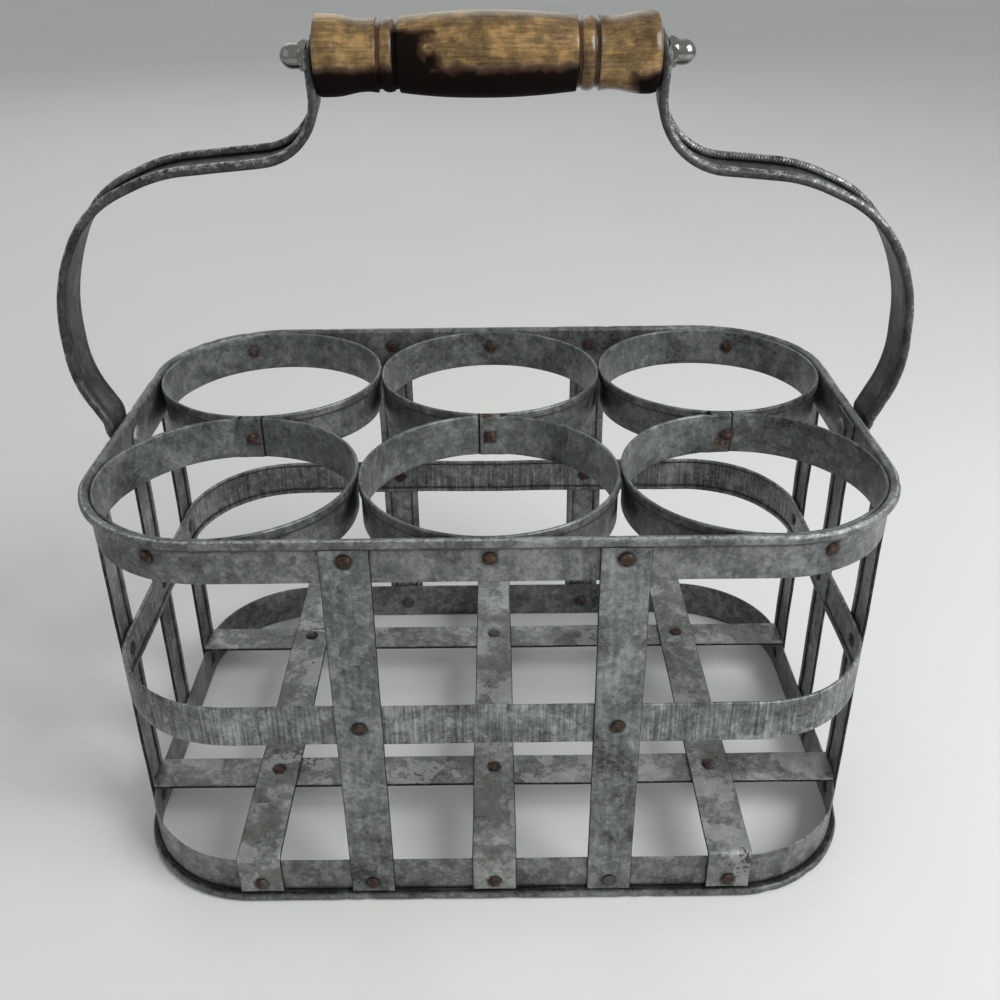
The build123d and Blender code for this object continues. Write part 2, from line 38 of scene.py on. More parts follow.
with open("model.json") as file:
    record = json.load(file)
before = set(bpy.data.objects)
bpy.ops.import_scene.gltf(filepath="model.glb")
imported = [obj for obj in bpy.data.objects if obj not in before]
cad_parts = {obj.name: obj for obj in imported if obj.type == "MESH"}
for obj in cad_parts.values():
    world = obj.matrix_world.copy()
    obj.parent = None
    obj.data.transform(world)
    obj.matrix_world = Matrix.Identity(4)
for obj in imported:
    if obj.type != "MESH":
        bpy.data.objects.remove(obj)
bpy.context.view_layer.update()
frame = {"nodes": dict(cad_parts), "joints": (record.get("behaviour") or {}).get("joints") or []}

import json
from math import acos, atan2, cos, degrees, hypot, pi, radians, sin, sqrt

import bmesh
import bpy
import numpy as np
from bpy.props import FloatProperty, FloatVectorProperty, PointerProperty
from mathutils import Matrix, Vector

MM = 0.001


def linear(code):
    """A linear colour from an sRGB hex code."""
    shares = [int(code[i:i + 2], 16) / 255 for i in (0, 2, 4)]
    return [share / 12.92 if share <= 0.04045 else ((share + 0.055) / 1.055) ** 2.4 for share in shares]


def length(name, description, millimetres):
    """A length that a user can change."""
    return FloatProperty(name=name, description=description, default=millimetres * MM, min=0, unit="LENGTH",
                         precision=5)


def colour(name, description, code):
    """A colour that a user can change."""
    return FloatVectorProperty(name=name, description=description, default=linear(code), min=0, max=1, size=3,
                               subtype="COLOR")


# Sizes and colours that a user would change

class CarrierSizes(bpy.types.PropertyGroup):
    """Sizes of the sheet metal and of the small parts."""
    fold_slit: length("Fold slit", "Gap between the two layers of a folded edge", 0.1)
    ring_hem: length("Ring hem", "Height of the fold along each ring's top edge", 3.8)
    ring_lap: length("Ring lap", "How far the two ends of a ring overlap", 9.0)
    strap_hem: length("Strap hem", "Width of the fold along both edges of a strap", 4.0)
    lap_front: length("Lap to the front", "How far a band's hidden end reaches in front of the pivot", 14.0)
    lap_back: length("Lap to the back", "How far a band's hidden end reaches behind the pivot", 9.0)
    seam_back: length("Seam", "How far behind the handle pivot a band's two ends meet", 3.0)
    seam_gap: length("Seam gap", "Gap where a bead's two ends meet", 0.4)
    rivet_head: length("Rivet head", "Diameter of a rivet's head", 5.6)
    rivet_rise: length("Rivet head height", "How far a rivet's head stands off the sheet", 1.2)
    rivet_tail: length("Rivet tail", "Diameter of a rivet's hammered tail", 6.0)
    tail_rise: length("Rivet tail height", "How far a rivet's tail stands off the sheet", 0.9)
    arm_sheet: length("Handle sheet", "Thickness of the handle straps", 1.0)
    arm_ridge: length("Handle ridge", "Diameter of the rolled ridges of a handle strap", 3.8)
    crimp_spacing: length("Crimp spacing", "Distance between the tool marks on a back ridge", 1.25)


class CarrierColours(bpy.types.PropertyGroup):
    """Colours of the finishes."""
    zinc_dark: colour("Dark zinc", "Dark crystals and stains of the zinc coat", "363939")
    zinc_mid: colour("Zinc", "Most of the zinc coat", "646867")
    zinc_light: colour("Light zinc", "Light crystals of the zinc coat", "9b9e9d")
    # Also the colour of the painted highlight along beads, ridges and edges
    worn_zinc_and_highlight: colour("Worn zinc", "Zinc rubbed bright along edges and beads", "b4b7b3")
    rust: colour("Rust", "Brown rust on rivets and in stains", "3c2a1f")
    wood: colour("Wood", "Varnished wood of the grip", "725a37")
    scorched: colour("Scorched wood", "Burnt and worn dark places of the grip", "100805")
    nickel: colour("Nickel", "Bright plate of the nuts and washers", "8d8d88")
    floor: colour("Floor", "Pale floor that the carrier stands on", "d8d8d7")


# Layout, read from the frame

sheet = 0.8 * MM
seat_gap = 0.05 * MM
strap_width = 19.0 * MM
joints = {joint["name"]: Vector(joint["pos_m"]) for joint in frame["joints"]}
pivot_z = joints["handle_swing"].z
grip_z = joints["grip_spin"].z
rim_box, middle_box, base_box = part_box("rim_band"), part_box("middle_band"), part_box("base_band")
ring_box, grip_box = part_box("ring_front_right"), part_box("wood_grip")
grip_centre = (grip_box[0].x + grip_box[1].x) / 2
grip_half = (grip_box[1].x - grip_box[0].x) / 2
grip_radius = (grip_box[1].z - grip_box[0].z) / 2
half_width = middle_box[1].x - sheet
half_depth = middle_box[1].y - sheet
bead_radius = (rim_box[1].x - half_width) / 2
ring_pitch = (ring_box[0].x + ring_box[1].x) / 2
ring_top, ring_low = ring_box[1].z, ring_box[0].z
ring_inner = (ring_box[1].x - ring_box[0].x) / 2 - 2 * sheet
corner_radius = half_width - ring_pitch
side_run = half_depth - corner_radius
end_run = half_width - corner_radius
strap_seat = sheet + seat_gap
strap_face = strap_seat + 2 * sheet
fold_radius = corner_radius + strap_seat + sheet
columns = {"left": -1, "middle": 0, "right": 1}
rows = {"front": -1, "back": 1}
sides = {"left": -1, "right": 1}
rim_rivet_z = rim_box[1].z - 9.4 * MM
ring_rivet_z = rim_box[1].z - 11.0 * MM
middle_z = (middle_box[0].z + middle_box[1].z) / 2
base_rivet_z = 9.5 * MM
base_top = base_box[1].z
corner_rivet_angle = radians(22)
ring_seams = {"left": 3.9 * MM, "middle": -4.3 * MM, "right": 1.5 * MM}

# Distance between the points of a fold, of a wall, and of a wall that hardly shows
fold_step, wall_step, long_step = 0.9 * MM, 1.2 * MM, 2.2 * MM


# Small helpers for outlines

def arc(centre, radius, start, turn, steps):
    """Points on an arc, with angles in degrees."""
    angles = np.radians(start + turn * np.linspace(0, 1, steps + 1))
    return np.column_stack([centre[0] + radius * np.cos(angles), centre[1] + radius * np.sin(angles)])


def line(start, end, step):
    """Points on a straight line, about a step apart."""
    count = max(1, int(round(hypot(end[0] - start[0], end[1] - start[1]) / step)))
    shares = np.linspace(0, 1, count + 1)[:, None]
    return np.array(start) * (1 - shares) + np.array(end) * shares


def joined(*parts, apart=1e-7):
    """One open line out of several, without points closer than that to the one before."""
    points = np.vstack(parts)
    keep = np.ones(len(points), bool)
    keep[1:] = np.linalg.norm(np.diff(points, axis=0), axis=1) > apart
    return points[keep]


def distances(points):
    """How far along a line each of its points lies."""
    return np.concatenate([[0], np.cumsum(np.linalg.norm(np.diff(points, axis=0), axis=1))])


def sheet_outline(centre, thickness, cap_steps=4):
    """Closed outline of a bent sheet from its middle line, with both cut edges rounded."""
    along = np.gradient(centre, axis=0)
    along /= np.linalg.norm(along, axis=1)[:, None]
    across = np.column_stack([-along[:, 1], along[:, 0]]) * thickness / 2
    start, end = (degrees(atan2(across[index][1], across[index][0])) for index in (0, -1))
    end_cap = arc(centre[-1], thickness / 2, end, -180, cap_steps)[1:-1]
    start_cap = arc(centre[0], thickness / 2, start + 180, -180, cap_steps)[1:-1]
    return np.vstack([centre + across, end_cap, (centre - across)[::-1], start_cap])


def rounded(points, radius, steps=4):
    """An open line with each of its corners rounded off."""
    points = [np.array(point, float) for point in points]
    made = [points[0]]
    for before, corner, after in zip(points, points[1:], points[2:]):
        back, on = before - corner, after - corner
        trim = min(radius, np.linalg.norm(back) * 0.45, np.linalg.norm(on) * 0.45)
        first = corner + back / np.linalg.norm(back) * trim
        last = corner + on / np.linalg.norm(on) * trim
        for share in np.linspace(0, 1, steps + 1):
            made.append(first * (1 - share) ** 2 + corner * 2 * share * (1 - share) + last * share ** 2)
    made.append(points[-1])
    return np.array(made)


def ease(value):
    """A soft step from 0 to 1."""
    value = np.clip(value, 0, 1)
    return value * value * (3 - 2 * value)


def bell(value, width):
    """A soft peak, 1 where the value is 0 and gone beyond about twice the width."""
    return np.exp(-(value / width) ** 2)


def wander(at, height, wavelength, seed):
    """A slow random wave along a length, about as high as asked."""
    draw = np.random.default_rng(seed)
    total = 0
    for share, weight in ((1.0, 0.55), (0.61, 0.3), (0.33, 0.15)):
        total = total + weight * np.sin(2 * pi * at / (wavelength * share) + draw.uniform(0, 2 * pi))
    return total * height


# Meshes

class Piece:
    """Grids of points gathered into one mesh, with a place along the strip, wear with a painted highlight,
    painted shade and rust.
    """

    def __init__(self):
        self.points, self.strip, self.marks, self.faces = [], [], [], []
        self.count = 0

    def add(self, grid, strip, wear=0.0, painted_shade=0.0, caps=True):
        """Add a tube of closed rows. Row after row runs along the strip."""
        height, width = grid.shape[:2]
        marks = np.zeros((height, width, 2))
        marks[..., 0] = wear
        marks[..., 1] = painted_shade
        index = np.arange(height * width).reshape(height, width) + self.count
        here, after = index[:-1], index[1:]
        quads = np.stack([here, np.roll(here, -1, axis=1), np.roll(after, -1, axis=1), after], axis=-1)
        self.faces += quads.reshape(-1, 4).tolist()
        if caps:
            self.faces += [index[0][::-1].tolist(), index[-1].tolist()]
        self.points.append(grid.reshape(-1, 3))
        self.strip.append(strip.reshape(-1, 3))
        self.marks.append(marks.reshape(-1, 2))
        self.count += height * width
        return self

    def build(self, stands_for, kind, body, slot, finish=None, sharp=38, stains=()):
        """Make the object, put it on its body, and hide the pieces of the frame that it stands for."""
        points = np.vstack(self.points)
        wear, painted_shade = np.vstack(self.marks).T
        rust = np.zeros(len(points))
        for place, radius, strength in stains:
            rust = np.maximum(rust, strength * bell(np.linalg.norm(points - np.array(place), axis=1), radius))
        if body == "basket":
            rivet_shade, rivet_rust = rivet_marks(points)
            painted_shade, rust = np.maximum(painted_shade, rivet_shade), np.maximum(rust, rivet_rust)
        name, strip = f"{stands_for}_{kind}", np.vstack(self.strip)
        mesh = bpy.data.meshes.new(name)
        mesh.from_pydata(points.tolist(), [], self.faces)
        for key, values in (("wear", wear), ("painted_shade", painted_shade), ("rust", rust), ("strip", strip)):
            set_attribute(mesh, key, values)
        finish_piece(mesh, name, body, material(finish or slot), [stands_for], sharp)


def set_attribute(mesh, key, values):
    """Give each point of a mesh a number or a vector."""
    values = np.asarray(values, np.float32)
    kind, field = ("FLOAT_VECTOR", "vector") if values.ndim > 1 else ("FLOAT", "value")
    mesh.attributes.new(key, kind, "POINT").data.foreach_set(field, values.ravel())


rivet_spots = []
shade_ring_radius, shade_ring_width, stain_radius = 2.9 * MM, 0.8 * MM, 3.6 * MM


def rivet_marks(points):
    """Painted shade in a ring at the foot of every rivet head and tail, and rust stains round them."""
    if not rivet_spots:
        for place, out, inner, outer in rivet_places():
            rivet_spots.extend([place + out * depth for depth in (outer, inner) if depth is not None])
    painted_shade, rust = np.zeros(len(points)), np.zeros(len(points))
    for number, spot in enumerate(rivet_spots):
        away = np.linalg.norm(points - np.array(spot), axis=1)
        # A dark ring where each head meets the sheet: painted shade
        painted_shade = np.maximum(painted_shade, 0.95 * bell(away - shade_ring_radius, shade_ring_width))
        rust = np.maximum(rust, (0.35 + 0.3 * (number * 7 % 5) / 4) * bell(away, stain_radius))
    return painted_shade, rust


def finish_piece(mesh, name, body, material, replaces, sharp):
    """Clean a mesh and put it in the scene on its body."""
    work = bmesh.new()
    work.from_mesh(mesh)
    bmesh.ops.remove_doubles(work, verts=work.verts, dist=1e-7)
    bmesh.ops.dissolve_degenerate(work, dist=1e-8, edges=work.edges)
    bmesh.ops.recalc_face_normals(work, faces=work.faces)
    work.to_mesh(mesh)
    work.free()
    mesh.polygons.foreach_set("use_smooth", [True] * len(mesh.polygons))
    mesh.set_sharp_from_angle(angle=radians(sharp))
    mesh.materials.clear()
    mesh.materials.append(material)
    piece = bpy.data.objects.new(name, mesh)
    bpy.context.scene.collection.objects.link(piece)
    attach(piece, body)
    if replaces:
        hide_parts(*replaces)


def dress(name, finish):
    """Give a piece of the frame that is kept as it is its material."""
    data = frame["nodes"][name].data
    data.materials.clear()
    data.materials.append(material(finish))


def round_the_body(gap, step=1.6 * MM):
    """Places on the bands' inner face, clockwise from the seam on the right: point, way out, distance."""
    seam = bpy.context.scene.carrier_sizes.seam_back
    places = []
    travelled = 0.0
    at, heading = Vector((half_width, seam)), -90.0
    runs = [side_run + seam, 2 * end_run, 2 * side_run, 2 * end_run, side_run - seam - gap]
    for number, run in enumerate(runs):
        way = Vector((cos(radians(heading)), sin(radians(heading))))
        out = Vector((-way.y, way.x))
        for share in np.linspace(0, 1, max(2, int(round(run / step)) + 1))[(1 if number else 0):]:
            places.append((at + way * run * share, out, travelled + run * share))
        at = at + way * run
        travelled += run
        if number == len(runs) - 1:
            break
        centre = at - out * corner_radius
        steps = int(round(corner_radius * pi / 2 / step))
        for number_on_arc in range(1, steps + 1):
            turned = radians(-90.0 * number_on_arc / steps)
            side = Vector((out.x * cos(turned) - out.y * sin(turned),
                           out.x * sin(turned) + out.y * cos(turned)))
            places.append((centre + side * corner_radius, side, travelled + corner_radius * -turned))
        at = centre + side * corner_radius
        travelled += corner_radius * pi / 2
        heading -= 90.0
    return places


def along_body(section, gap, low, shape):
    """Grid of a section swept round the body. A section's x is outwards and its y upwards from a height."""
    places = round_the_body(gap)
    grid = np.zeros((len(places), len(section), 3))
    strip = np.zeros_like(grid)
    strip[..., 1] = section[:, 1]
    strip[..., 2] = distances(section)
    for number, (point, out, run) in enumerate(places):
        local = shape(section, run)
        grid[number, :, 0] = point.x + out.x * local[:, 0]
        grid[number, :, 1] = point.y + out.y * local[:, 0]
        grid[number, :, 2] = low + local[:, 1]
        strip[number, :, 0] = run
    return grid, strip


def swept(stations, outline, place):
    """Grid of an outline that moves along a strip. A station starts with its distance, and place turns it
    into the x, y and z of the outline's points."""
    grid = np.zeros((len(stations), len(outline), 3))
    strip = np.zeros_like(grid)
    strip[..., 1] = outline[:, 1]
    for index, station in enumerate(stations):
        grid[index, :, 0], grid[index, :, 1], grid[index, :, 2] = place(*station)
        strip[index, :, 0] = station[0]
    return grid, strip


# Materials

def node(tree, kind, inputs=None, stops=(), **settings):
    """Add a node with its settings. An input is a value, another node's output, or a node, whose first output
    is meant. Stops of a colour ramp are a position and a linear colour or a grey."""
    made = tree.nodes.new(kind)
    for key, value in settings.items():
        setattr(made, key, value)
    for key, value in (inputs or {}).items():
        if isinstance(value, bpy.types.Node):
            value = value.outputs[0]
        if isinstance(value, bpy.types.NodeSocket):
            tree.links.new(value, made.inputs[key])
        else:
            made.inputs[key].default_value = value
    for number, (position, shade) in enumerate(stops):
        elements = made.color_ramp.elements
        element = elements[number] if number < len(elements) else elements.new(position)
        element.position = position
        element.color = (*shade, 1) if hasattr(shade, "__len__") else (shade, shade, shade, 1)
    return made


def summed(tree, parts, start=0.0):
    """The sum of some outputs, each times its weight."""
    for output, weight in parts:
        start = node(tree, "ShaderNodeMath", {0: output, 1: weight, 2: start}, operation="MULTIPLY_ADD")
    return start


def coated(tree, base, coats):
    """A colour with others laid over it, each as far as its factor says."""
    for factor, shade in coats:
        base = node(tree, "ShaderNodeMix", {0: factor, 6: base, 7: (*shade, 1)}, data_type="RGBA").outputs[2]
    return base


def shaded(colour, *factors):
    """A colour made lighter or darker, by one factor or by one for each channel."""
    factors = factors if len(factors) > 1 else factors * 3
    return [min(1, part * factor) for part, factor in zip(colour, factors)]


def per_mm(size):
    """Texture scale for a pattern of a real size in millimetres."""
    return 1 / (size * MM)


def zinc(tree, brightness, warmth=0.0, streaks=0.0, striations=0.0, offset=0.0, stained=0.0):
    """Hot-dip galvanised steel, weathered: dull crystals of the zinc coat in grey blotches a few millimetres
    across, white corrosion flecks, dark pits and stains, bright rubbed metal with a painted highlight along
    beads, ridges and edges, and painted shade in folds, creases and round rivet heads."""
    colours = bpy.context.scene.carrier_colours
    place = node(tree, "ShaderNodeTexCoord").outputs["Object"]
    place = node(tree, "ShaderNodeMapping", {0: place, "Location": (offset, offset * 0.7, offset * 0.3)})
    wobble = node(tree, "ShaderNodeTexNoise", {0: place, "Scale": per_mm(3), "Detail": 3.0}).outputs["Color"]
    bent = node(tree, "ShaderNodeVectorMath", {0: wobble, 1: (0.5, 0.5, 0.5)}, operation="SUBTRACT")
    bent = node(tree, "ShaderNodeVectorMath", {0: bent, "Scale": 1.6 * MM}, operation="SCALE")
    bent = node(tree, "ShaderNodeVectorMath", {0: place, 1: bent}, operation="ADD")

    # Crystals of the zinc coat in two sizes, blotches, flecks, and streaks where water ran down
    plates = node(tree, "ShaderNodeTexVoronoi", {0: bent, "Scale": per_mm(4.6)}).outputs["Color"]
    plate_grey = node(tree, "ShaderNodeSeparateColor", {0: plates})
    grains = node(tree, "ShaderNodeTexVoronoi", {0: bent, "Scale": per_mm(1.9)}).outputs["Color"]
    grain_grey = node(tree, "ShaderNodeSeparateColor", {0: grains}).outputs[1]
    blotch = node(tree, "ShaderNodeTexNoise", {0: bent, "Scale": per_mm(5), "Detail": 6.0, "Roughness": 0.68})
    cloud = node(tree, "ShaderNodeTexNoise", {0: place, "Scale": per_mm(24), "Detail": 3.0})
    tall = node(tree, "ShaderNodeMapping", {0: bent, "Scale": (1, 1, 0.12)})
    streak = node(tree, "ShaderNodeTexNoise", {0: tall, "Scale": per_mm(2.2), "Detail": 3.0})
    fleck = node(tree, "ShaderNodeTexNoise",
                 {0: place, "Scale": per_mm(1.3), "Detail": 3.0, "Roughness": 0.6})
    strip = node(tree, "ShaderNodeAttribute", attribute_name="strip").outputs["Vector"]
    thin = node(tree, "ShaderNodeMapping", {0: strip, "Scale": (1, 0.04, 0)})
    rolled = node(tree, "ShaderNodeTexNoise", {0: thin, "Scale": per_mm(1.0), "Detail": 2.0})
    parts = [(plate_grey, 0.10), (grain_grey, 0.08), (blotch, 0.42), (cloud, 0.50), (fleck, 0.26),
             (streak, streaks), (rolled, striations)]
    value = summed(tree, parts, 0.5 - sum(weight for output, weight in parts) / 2)
    dark, mid, light = (shaded(shade, brightness * (1 + warmth), brightness, brightness * (1 - warmth))
                        for shade in (colours.zinc_dark, colours.zinc_mid, colours.zinc_light))
    base = node(tree, "ShaderNodeValToRGB", {0: value}, [(0.29, dark), (0.49, mid), (0.73, light)])

    # Dried spills: patches with a sharp edge, some dark and brownish, some pale with white corrosion
    if stained:
        spill = node(tree, "ShaderNodeTexNoise", {0: bent, "Scale": per_mm(21), "Detail": 4.0})
        murky = node(tree, "ShaderNodeValToRGB", {0: spill}, [(0.40, stained), (0.43, 0.0)])
        chalky = node(tree, "ShaderNodeValToRGB", {0: spill}, [(0.56, 0.0), (0.585, stained * 0.75)])
        base = coated(tree, base, [(murky, shaded(mid, 0.62, 0.58, 0.50)), (chalky, light)])

    # White corrosion flecks and small dark pits in clusters, then the marks that each piece carries:
    # painted shade in folds and corners and round rivet heads, rust stains, and rubbed metal on edges with a
    # painted highlight
    speck = node(tree, "ShaderNodeTexNoise", {0: place, "Scale": per_mm(0.8), "Detail": 2.0})
    specks = node(tree, "ShaderNodeValToRGB", {0: speck}, [(0.67, 0.0), (0.73, 0.5)])
    pit = node(tree, "ShaderNodeTexNoise", {0: place, "Scale": per_mm(1.7), "Detail": 3.0})
    pit = node(tree, "ShaderNodeMath", {0: pit, 1: cloud})
    pits = node(tree, "ShaderNodeValToRGB", {0: pit}, [(0.72, 0.9), (0.77, 0.0)])
    fine = node(tree, "ShaderNodeTexNoise", {0: place, "Scale": per_mm(1.6), "Detail": 4.0})
    wear_highlight_noise = node(tree, "ShaderNodeTexNoise",
                  {0: place, "Scale": per_mm(2.6), "Detail": 6.0, "Roughness": 0.75})
    marks = {}
    for key, ragged, low, high in (("painted_shade", blotch, 0.08, 0.5), ("rust", fine, 0.12, 0.42),
                                   ("wear", wear_highlight_noise, 0.40, 0.60)):
        mark = node(tree, "ShaderNodeAttribute", attribute_name=key).outputs["Fac"]
        mark = node(tree, "ShaderNodeMath", {0: mark, 1: ragged}, operation="MULTIPLY")
        marks[key] = node(tree, "ShaderNodeValToRGB", {0: mark}, [(low, 0.0), (high, 1.0)])
    # Painted shade is laid on as near-black zinc, and the painted highlight as bright worn zinc
    base = coated(tree, base, [(specks, light), (pits, dark), (marks["painted_shade"], shaded(dark, 0.30)),
                               (marks["rust"], colours.rust), (marks["wear"], colours.worn_zinc_and_highlight)])
    rough = node(tree, "ShaderNodeMapRange", {0: blotch, 1: 0.3, 2: 0.7, 3: 0.38, 4: 0.58})
    rough = summed(tree, [(marks["wear"], -0.2)], rough)

    # Relief: shallow dents from handling, the coat's own texture, and rolling marks on some strips
    dents = node(tree, "ShaderNodeTexNoise", {0: place, "Scale": per_mm(12), "Detail": 2.0})
    normal = node(tree, "ShaderNodeBump", {"Height": dents, "Strength": 1.0, "Distance": 0.5 * MM})
    layers = [(fleck, 0.6)] + [(rolled, 0.7)] * bool(striations)
    for height, strength in layers:
        normal = node(tree, "ShaderNodeBump", {"Height": height, "Strength": strength, "Distance": 0.12 * MM,
                                               "Normal": normal})
    return {"Base Color": base, "Roughness": rough, "Metallic": 0.6, "Normal": normal}


def rusted_iron(tree):
    """Iron rivets, rusted brown and worn: matt brown scale with darker specks, and grey metal where it has
    come off, on some rivets all over."""
    rust = bpy.context.scene.carrier_colours.rust
    place = node(tree, "ShaderNodeTexCoord").outputs["Object"]
    patch = node(tree, "ShaderNodeTexNoise", {0: place, "Scale": per_mm(2.2), "Detail": 4.0})
    base = node(tree, "ShaderNodeValToRGB", {0: patch},
                [(0.32, shaded(rust, 0.28)), (0.50, shaded(rust, 0.85)), (0.66, shaded(rust, 1.9)),
                 (0.78, linear("77736b"))])
    region = node(tree, "ShaderNodeTexNoise", {0: place, "Scale": per_mm(38), "Detail": 1.0})
    bare = node(tree, "ShaderNodeValToRGB", {0: region}, [(0.60, 0.0), (0.64, 0.7)])
    base = coated(tree, base, [(bare, linear("4e5050"))])
    rough = node(tree, "ShaderNodeMapRange", {0: patch, 1: 0.3, 2: 0.8, 3: 0.75, 4: 0.4})
    grain = node(tree, "ShaderNodeTexNoise", {0: place, "Scale": per_mm(0.7), "Detail": 3.0})
    bump = node(tree, "ShaderNodeBump", {"Height": grain, "Strength": 0.8, "Distance": 0.2 * MM})
    return {"Base Color": base, "Roughness": rough, "Metallic": 0.35, "Normal": bump}


def nickel_plate(tree):
    """Nickel-plated steel: bright plate with hairline scratches and small dull spots."""
    nickel = bpy.context.scene.carrier_colours.nickel
    place = node(tree, "ShaderNodeTexCoord").outputs["Object"]
    spot = node(tree, "ShaderNodeTexNoise", {0: place, "Scale": per_mm(1.8), "Detail": 5.0})
    base = node(tree, "ShaderNodeValToRGB", {0: spot}, [(0.25, shaded(nickel, 0.75)), (0.5, nickel)])
    rough = node(tree, "ShaderNodeMapRange", {0: spot, 1: 0.3, 2: 0.7, 3: 0.24, 4: 0.17})
    hair = node(tree, "ShaderNodeMapping", {0: place, "Scale": (0.12, 1, 1)})
    hair = node(tree, "ShaderNodeTexNoise", {0: hair, "Scale": per_mm(0.3), "Detail": 2.0})
    bump = node(tree, "ShaderNodeBump", {"Height": hair, "Strength": 0.25, "Distance": 0.03 * MM})
    return {"Base Color": base, "Roughness": rough, "Metallic": 1.0, "Normal": bump}


def drawn_wire(tree):
    """Drawn iron wire, hidden in the beads: dull grey with fine drawing lines."""
    place = node(tree, "ShaderNodeTexCoord").outputs["Object"]
    tone = node(tree, "ShaderNodeTexNoise", {0: place, "Scale": per_mm(1.5), "Detail": 3.0})
    base = node(tree, "ShaderNodeValToRGB", {0: tone}, [(0.3, linear("2b2c2c")), (0.7, linear("5b5c5b"))])
    return {"Base Color": base, "Roughness": 0.55, "Metallic": 0.8}


def varnished_wood(tree):
    """Turned hardwood under old varnish: grain and pores run along the grip. It is glossy where the varnish
    is whole, and near black where it is scorched, along the underside and in a patch on the barrel."""
    colours = bpy.context.scene.carrier_colours
    wood = list(colours.wood)
    place = node(tree, "ShaderNodeTexCoord").outputs["Object"]
    local = node(tree, "ShaderNodeVectorMath", {0: place, 1: (grip_centre, 0, grip_z)}, operation="SUBTRACT")
    along = node(tree, "ShaderNodeMapping", {0: local, "Scale": (0.09, 1, 1)})
    grain = node(tree, "ShaderNodeTexNoise",
                 {0: along, "Scale": per_mm(1.3), "Detail": 6.0, "Roughness": 0.65})
    broad = node(tree, "ShaderNodeTexNoise",
                 {0: local, "Scale": per_mm(11), "Detail": 4.0, "Roughness": 0.65})
    pores = node(tree, "ShaderNodeTexNoise", {0: along, "Scale": per_mm(0.55), "Detail": 2.0})
    lathe = node(tree, "ShaderNodeMapping", {0: local, "Scale": (1, 0.06, 0.06)})
    lathe = node(tree, "ShaderNodeTexNoise", {0: lathe, "Scale": per_mm(0.6), "Detail": 3.0})
    value = summed(tree, [(grain, 0.5), (broad, 0.80), (lathe, 0.08)])
    base = node(tree, "ShaderNodeValToRGB", {0: value},
                [(0.56, shaded(wood, 0.44, 0.36, 0.26)), (0.64, shaded(wood, 0.72)), (0.71, wood),
                 (0.82, shaded(wood, 1.9))])
    pore = node(tree, "ShaderNodeValToRGB", {0: pores}, [(0.34, 1.0), (0.42, 0.0)])
    clustered = node(tree, "ShaderNodeValToRGB", {0: broad}, [(0.42, 0.6), (0.6, 0.05)])
    pore = node(tree, "ShaderNodeMath", {0: pore, 1: clustered}, operation="MULTIPLY")
    painted_shade = node(tree, "ShaderNodeAttribute", attribute_name="painted_shade").outputs["Fac"]

    # Scorched: a band along the underside as far as the barrel goes, a patch on the barrel, a spot at one end
    x, y, z = node(tree, "ShaderNodeSeparateXYZ", {0: local}).outputs
    minus_x = node(tree, "ShaderNodeMath", {0: x, 1: -1.0}, operation="MULTIPLY")
    ragged = node(tree, "ShaderNodeTexNoise", {0: local, "Scale": per_mm(8), "Detail": 5.0})
    ragged = node(tree, "ShaderNodeMath", {0: ragged, 1: 0.5}, operation="SUBTRACT")
    places = [[(z, -1.4, 4.4, 1.5), (x, 34.5, 2.0, 1.0)],
              [(z, 10.5, 2.4, 1.2), (x, -16, 7.5, 3.4), (minus_x, 35.8, 0.9, 0.6), (y, 0, 2.0, 0.5)],
              [(z, -4.5, 4.0, 2.0), (minus_x, -52, 5.0, 2.0)]]
    burnt = 0.0
    for limits in places:
        # A place is where all its coordinates lie below their edges, softened and made ragged
        inside = 1.0
        for output, edge, soft, rough in limits:
            far = node(tree, "ShaderNodeMath", {0: edge * MM, 1: output}, operation="SUBTRACT")
            noisy = node(tree, "ShaderNodeMath", {0: ragged, 1: rough}, operation="MULTIPLY")
            far = node(tree, "ShaderNodeMath", {0: far, 1: 1 / (soft * MM), 2: noisy},
                       operation="MULTIPLY_ADD", use_clamp=True)
            inside = node(tree, "ShaderNodeMath", {0: far, 1: inside}, operation="MINIMUM")
        burnt = node(tree, "ShaderNodeMath", {0: inside, 1: burnt}, operation="MAXIMUM")
    charred = node(tree, "ShaderNodeValToRGB", {0: burnt}, [(0.28, 0.0), (0.85, 1.0)])
    singed = node(tree, "ShaderNodeValToRGB", {0: burnt}, [(0.0, 0.0), (0.30, 0.85)])
    # The dark brown laid along the grooves is painted shade
    base = coated(tree, base, [(pore, shaded(wood, 0.16)), (painted_shade, linear("3a1d0f")),
                               (singed, linear("3a1f10")), (charred, colours.scorched)])
    rough = node(tree, "ShaderNodeMapRange", {0: broad, 1: 0.3, 2: 0.7, 3: 0.3, 4: 0.5})
    rough = node(tree, "ShaderNodeMath", {0: rough, 1: charred}, operation="MAXIMUM")
    varnish = node(tree, "ShaderNodeValToRGB", {0: burnt}, [(0.15, 0.7), (0.7, 0.03)])
    height = node(tree, "ShaderNodeMath", {0: grain, 1: lathe})
    relief = node(tree, "ShaderNodeBump", {"Height": height, "Strength": 0.5, "Distance": 0.12 * MM})
    return {"Base Color": base, "Roughness": rough, "Specular IOR Level": 0.1, "Coat Weight": varnish,
            "Coat Roughness": 0.22, "Normal": relief}


def painted_board(tree):
    """Matt painted board: pale and even, with a faint unevenness that keeps the shadow soft."""
    pale = list(bpy.context.scene.carrier_colours.floor)
    place = node(tree, "ShaderNodeTexCoord").outputs["Object"]
    tone = node(tree, "ShaderNodeTexNoise", {0: place, "Scale": 3.0, "Detail": 2.0})
    base = node(tree, "ShaderNodeValToRGB", {0: tone}, [(0.3, shaded(pale, 0.97)), (0.7, pale)])
    return {"Base Color": base, "Roughness": 0.85, "Specular IOR Level": 0.2}


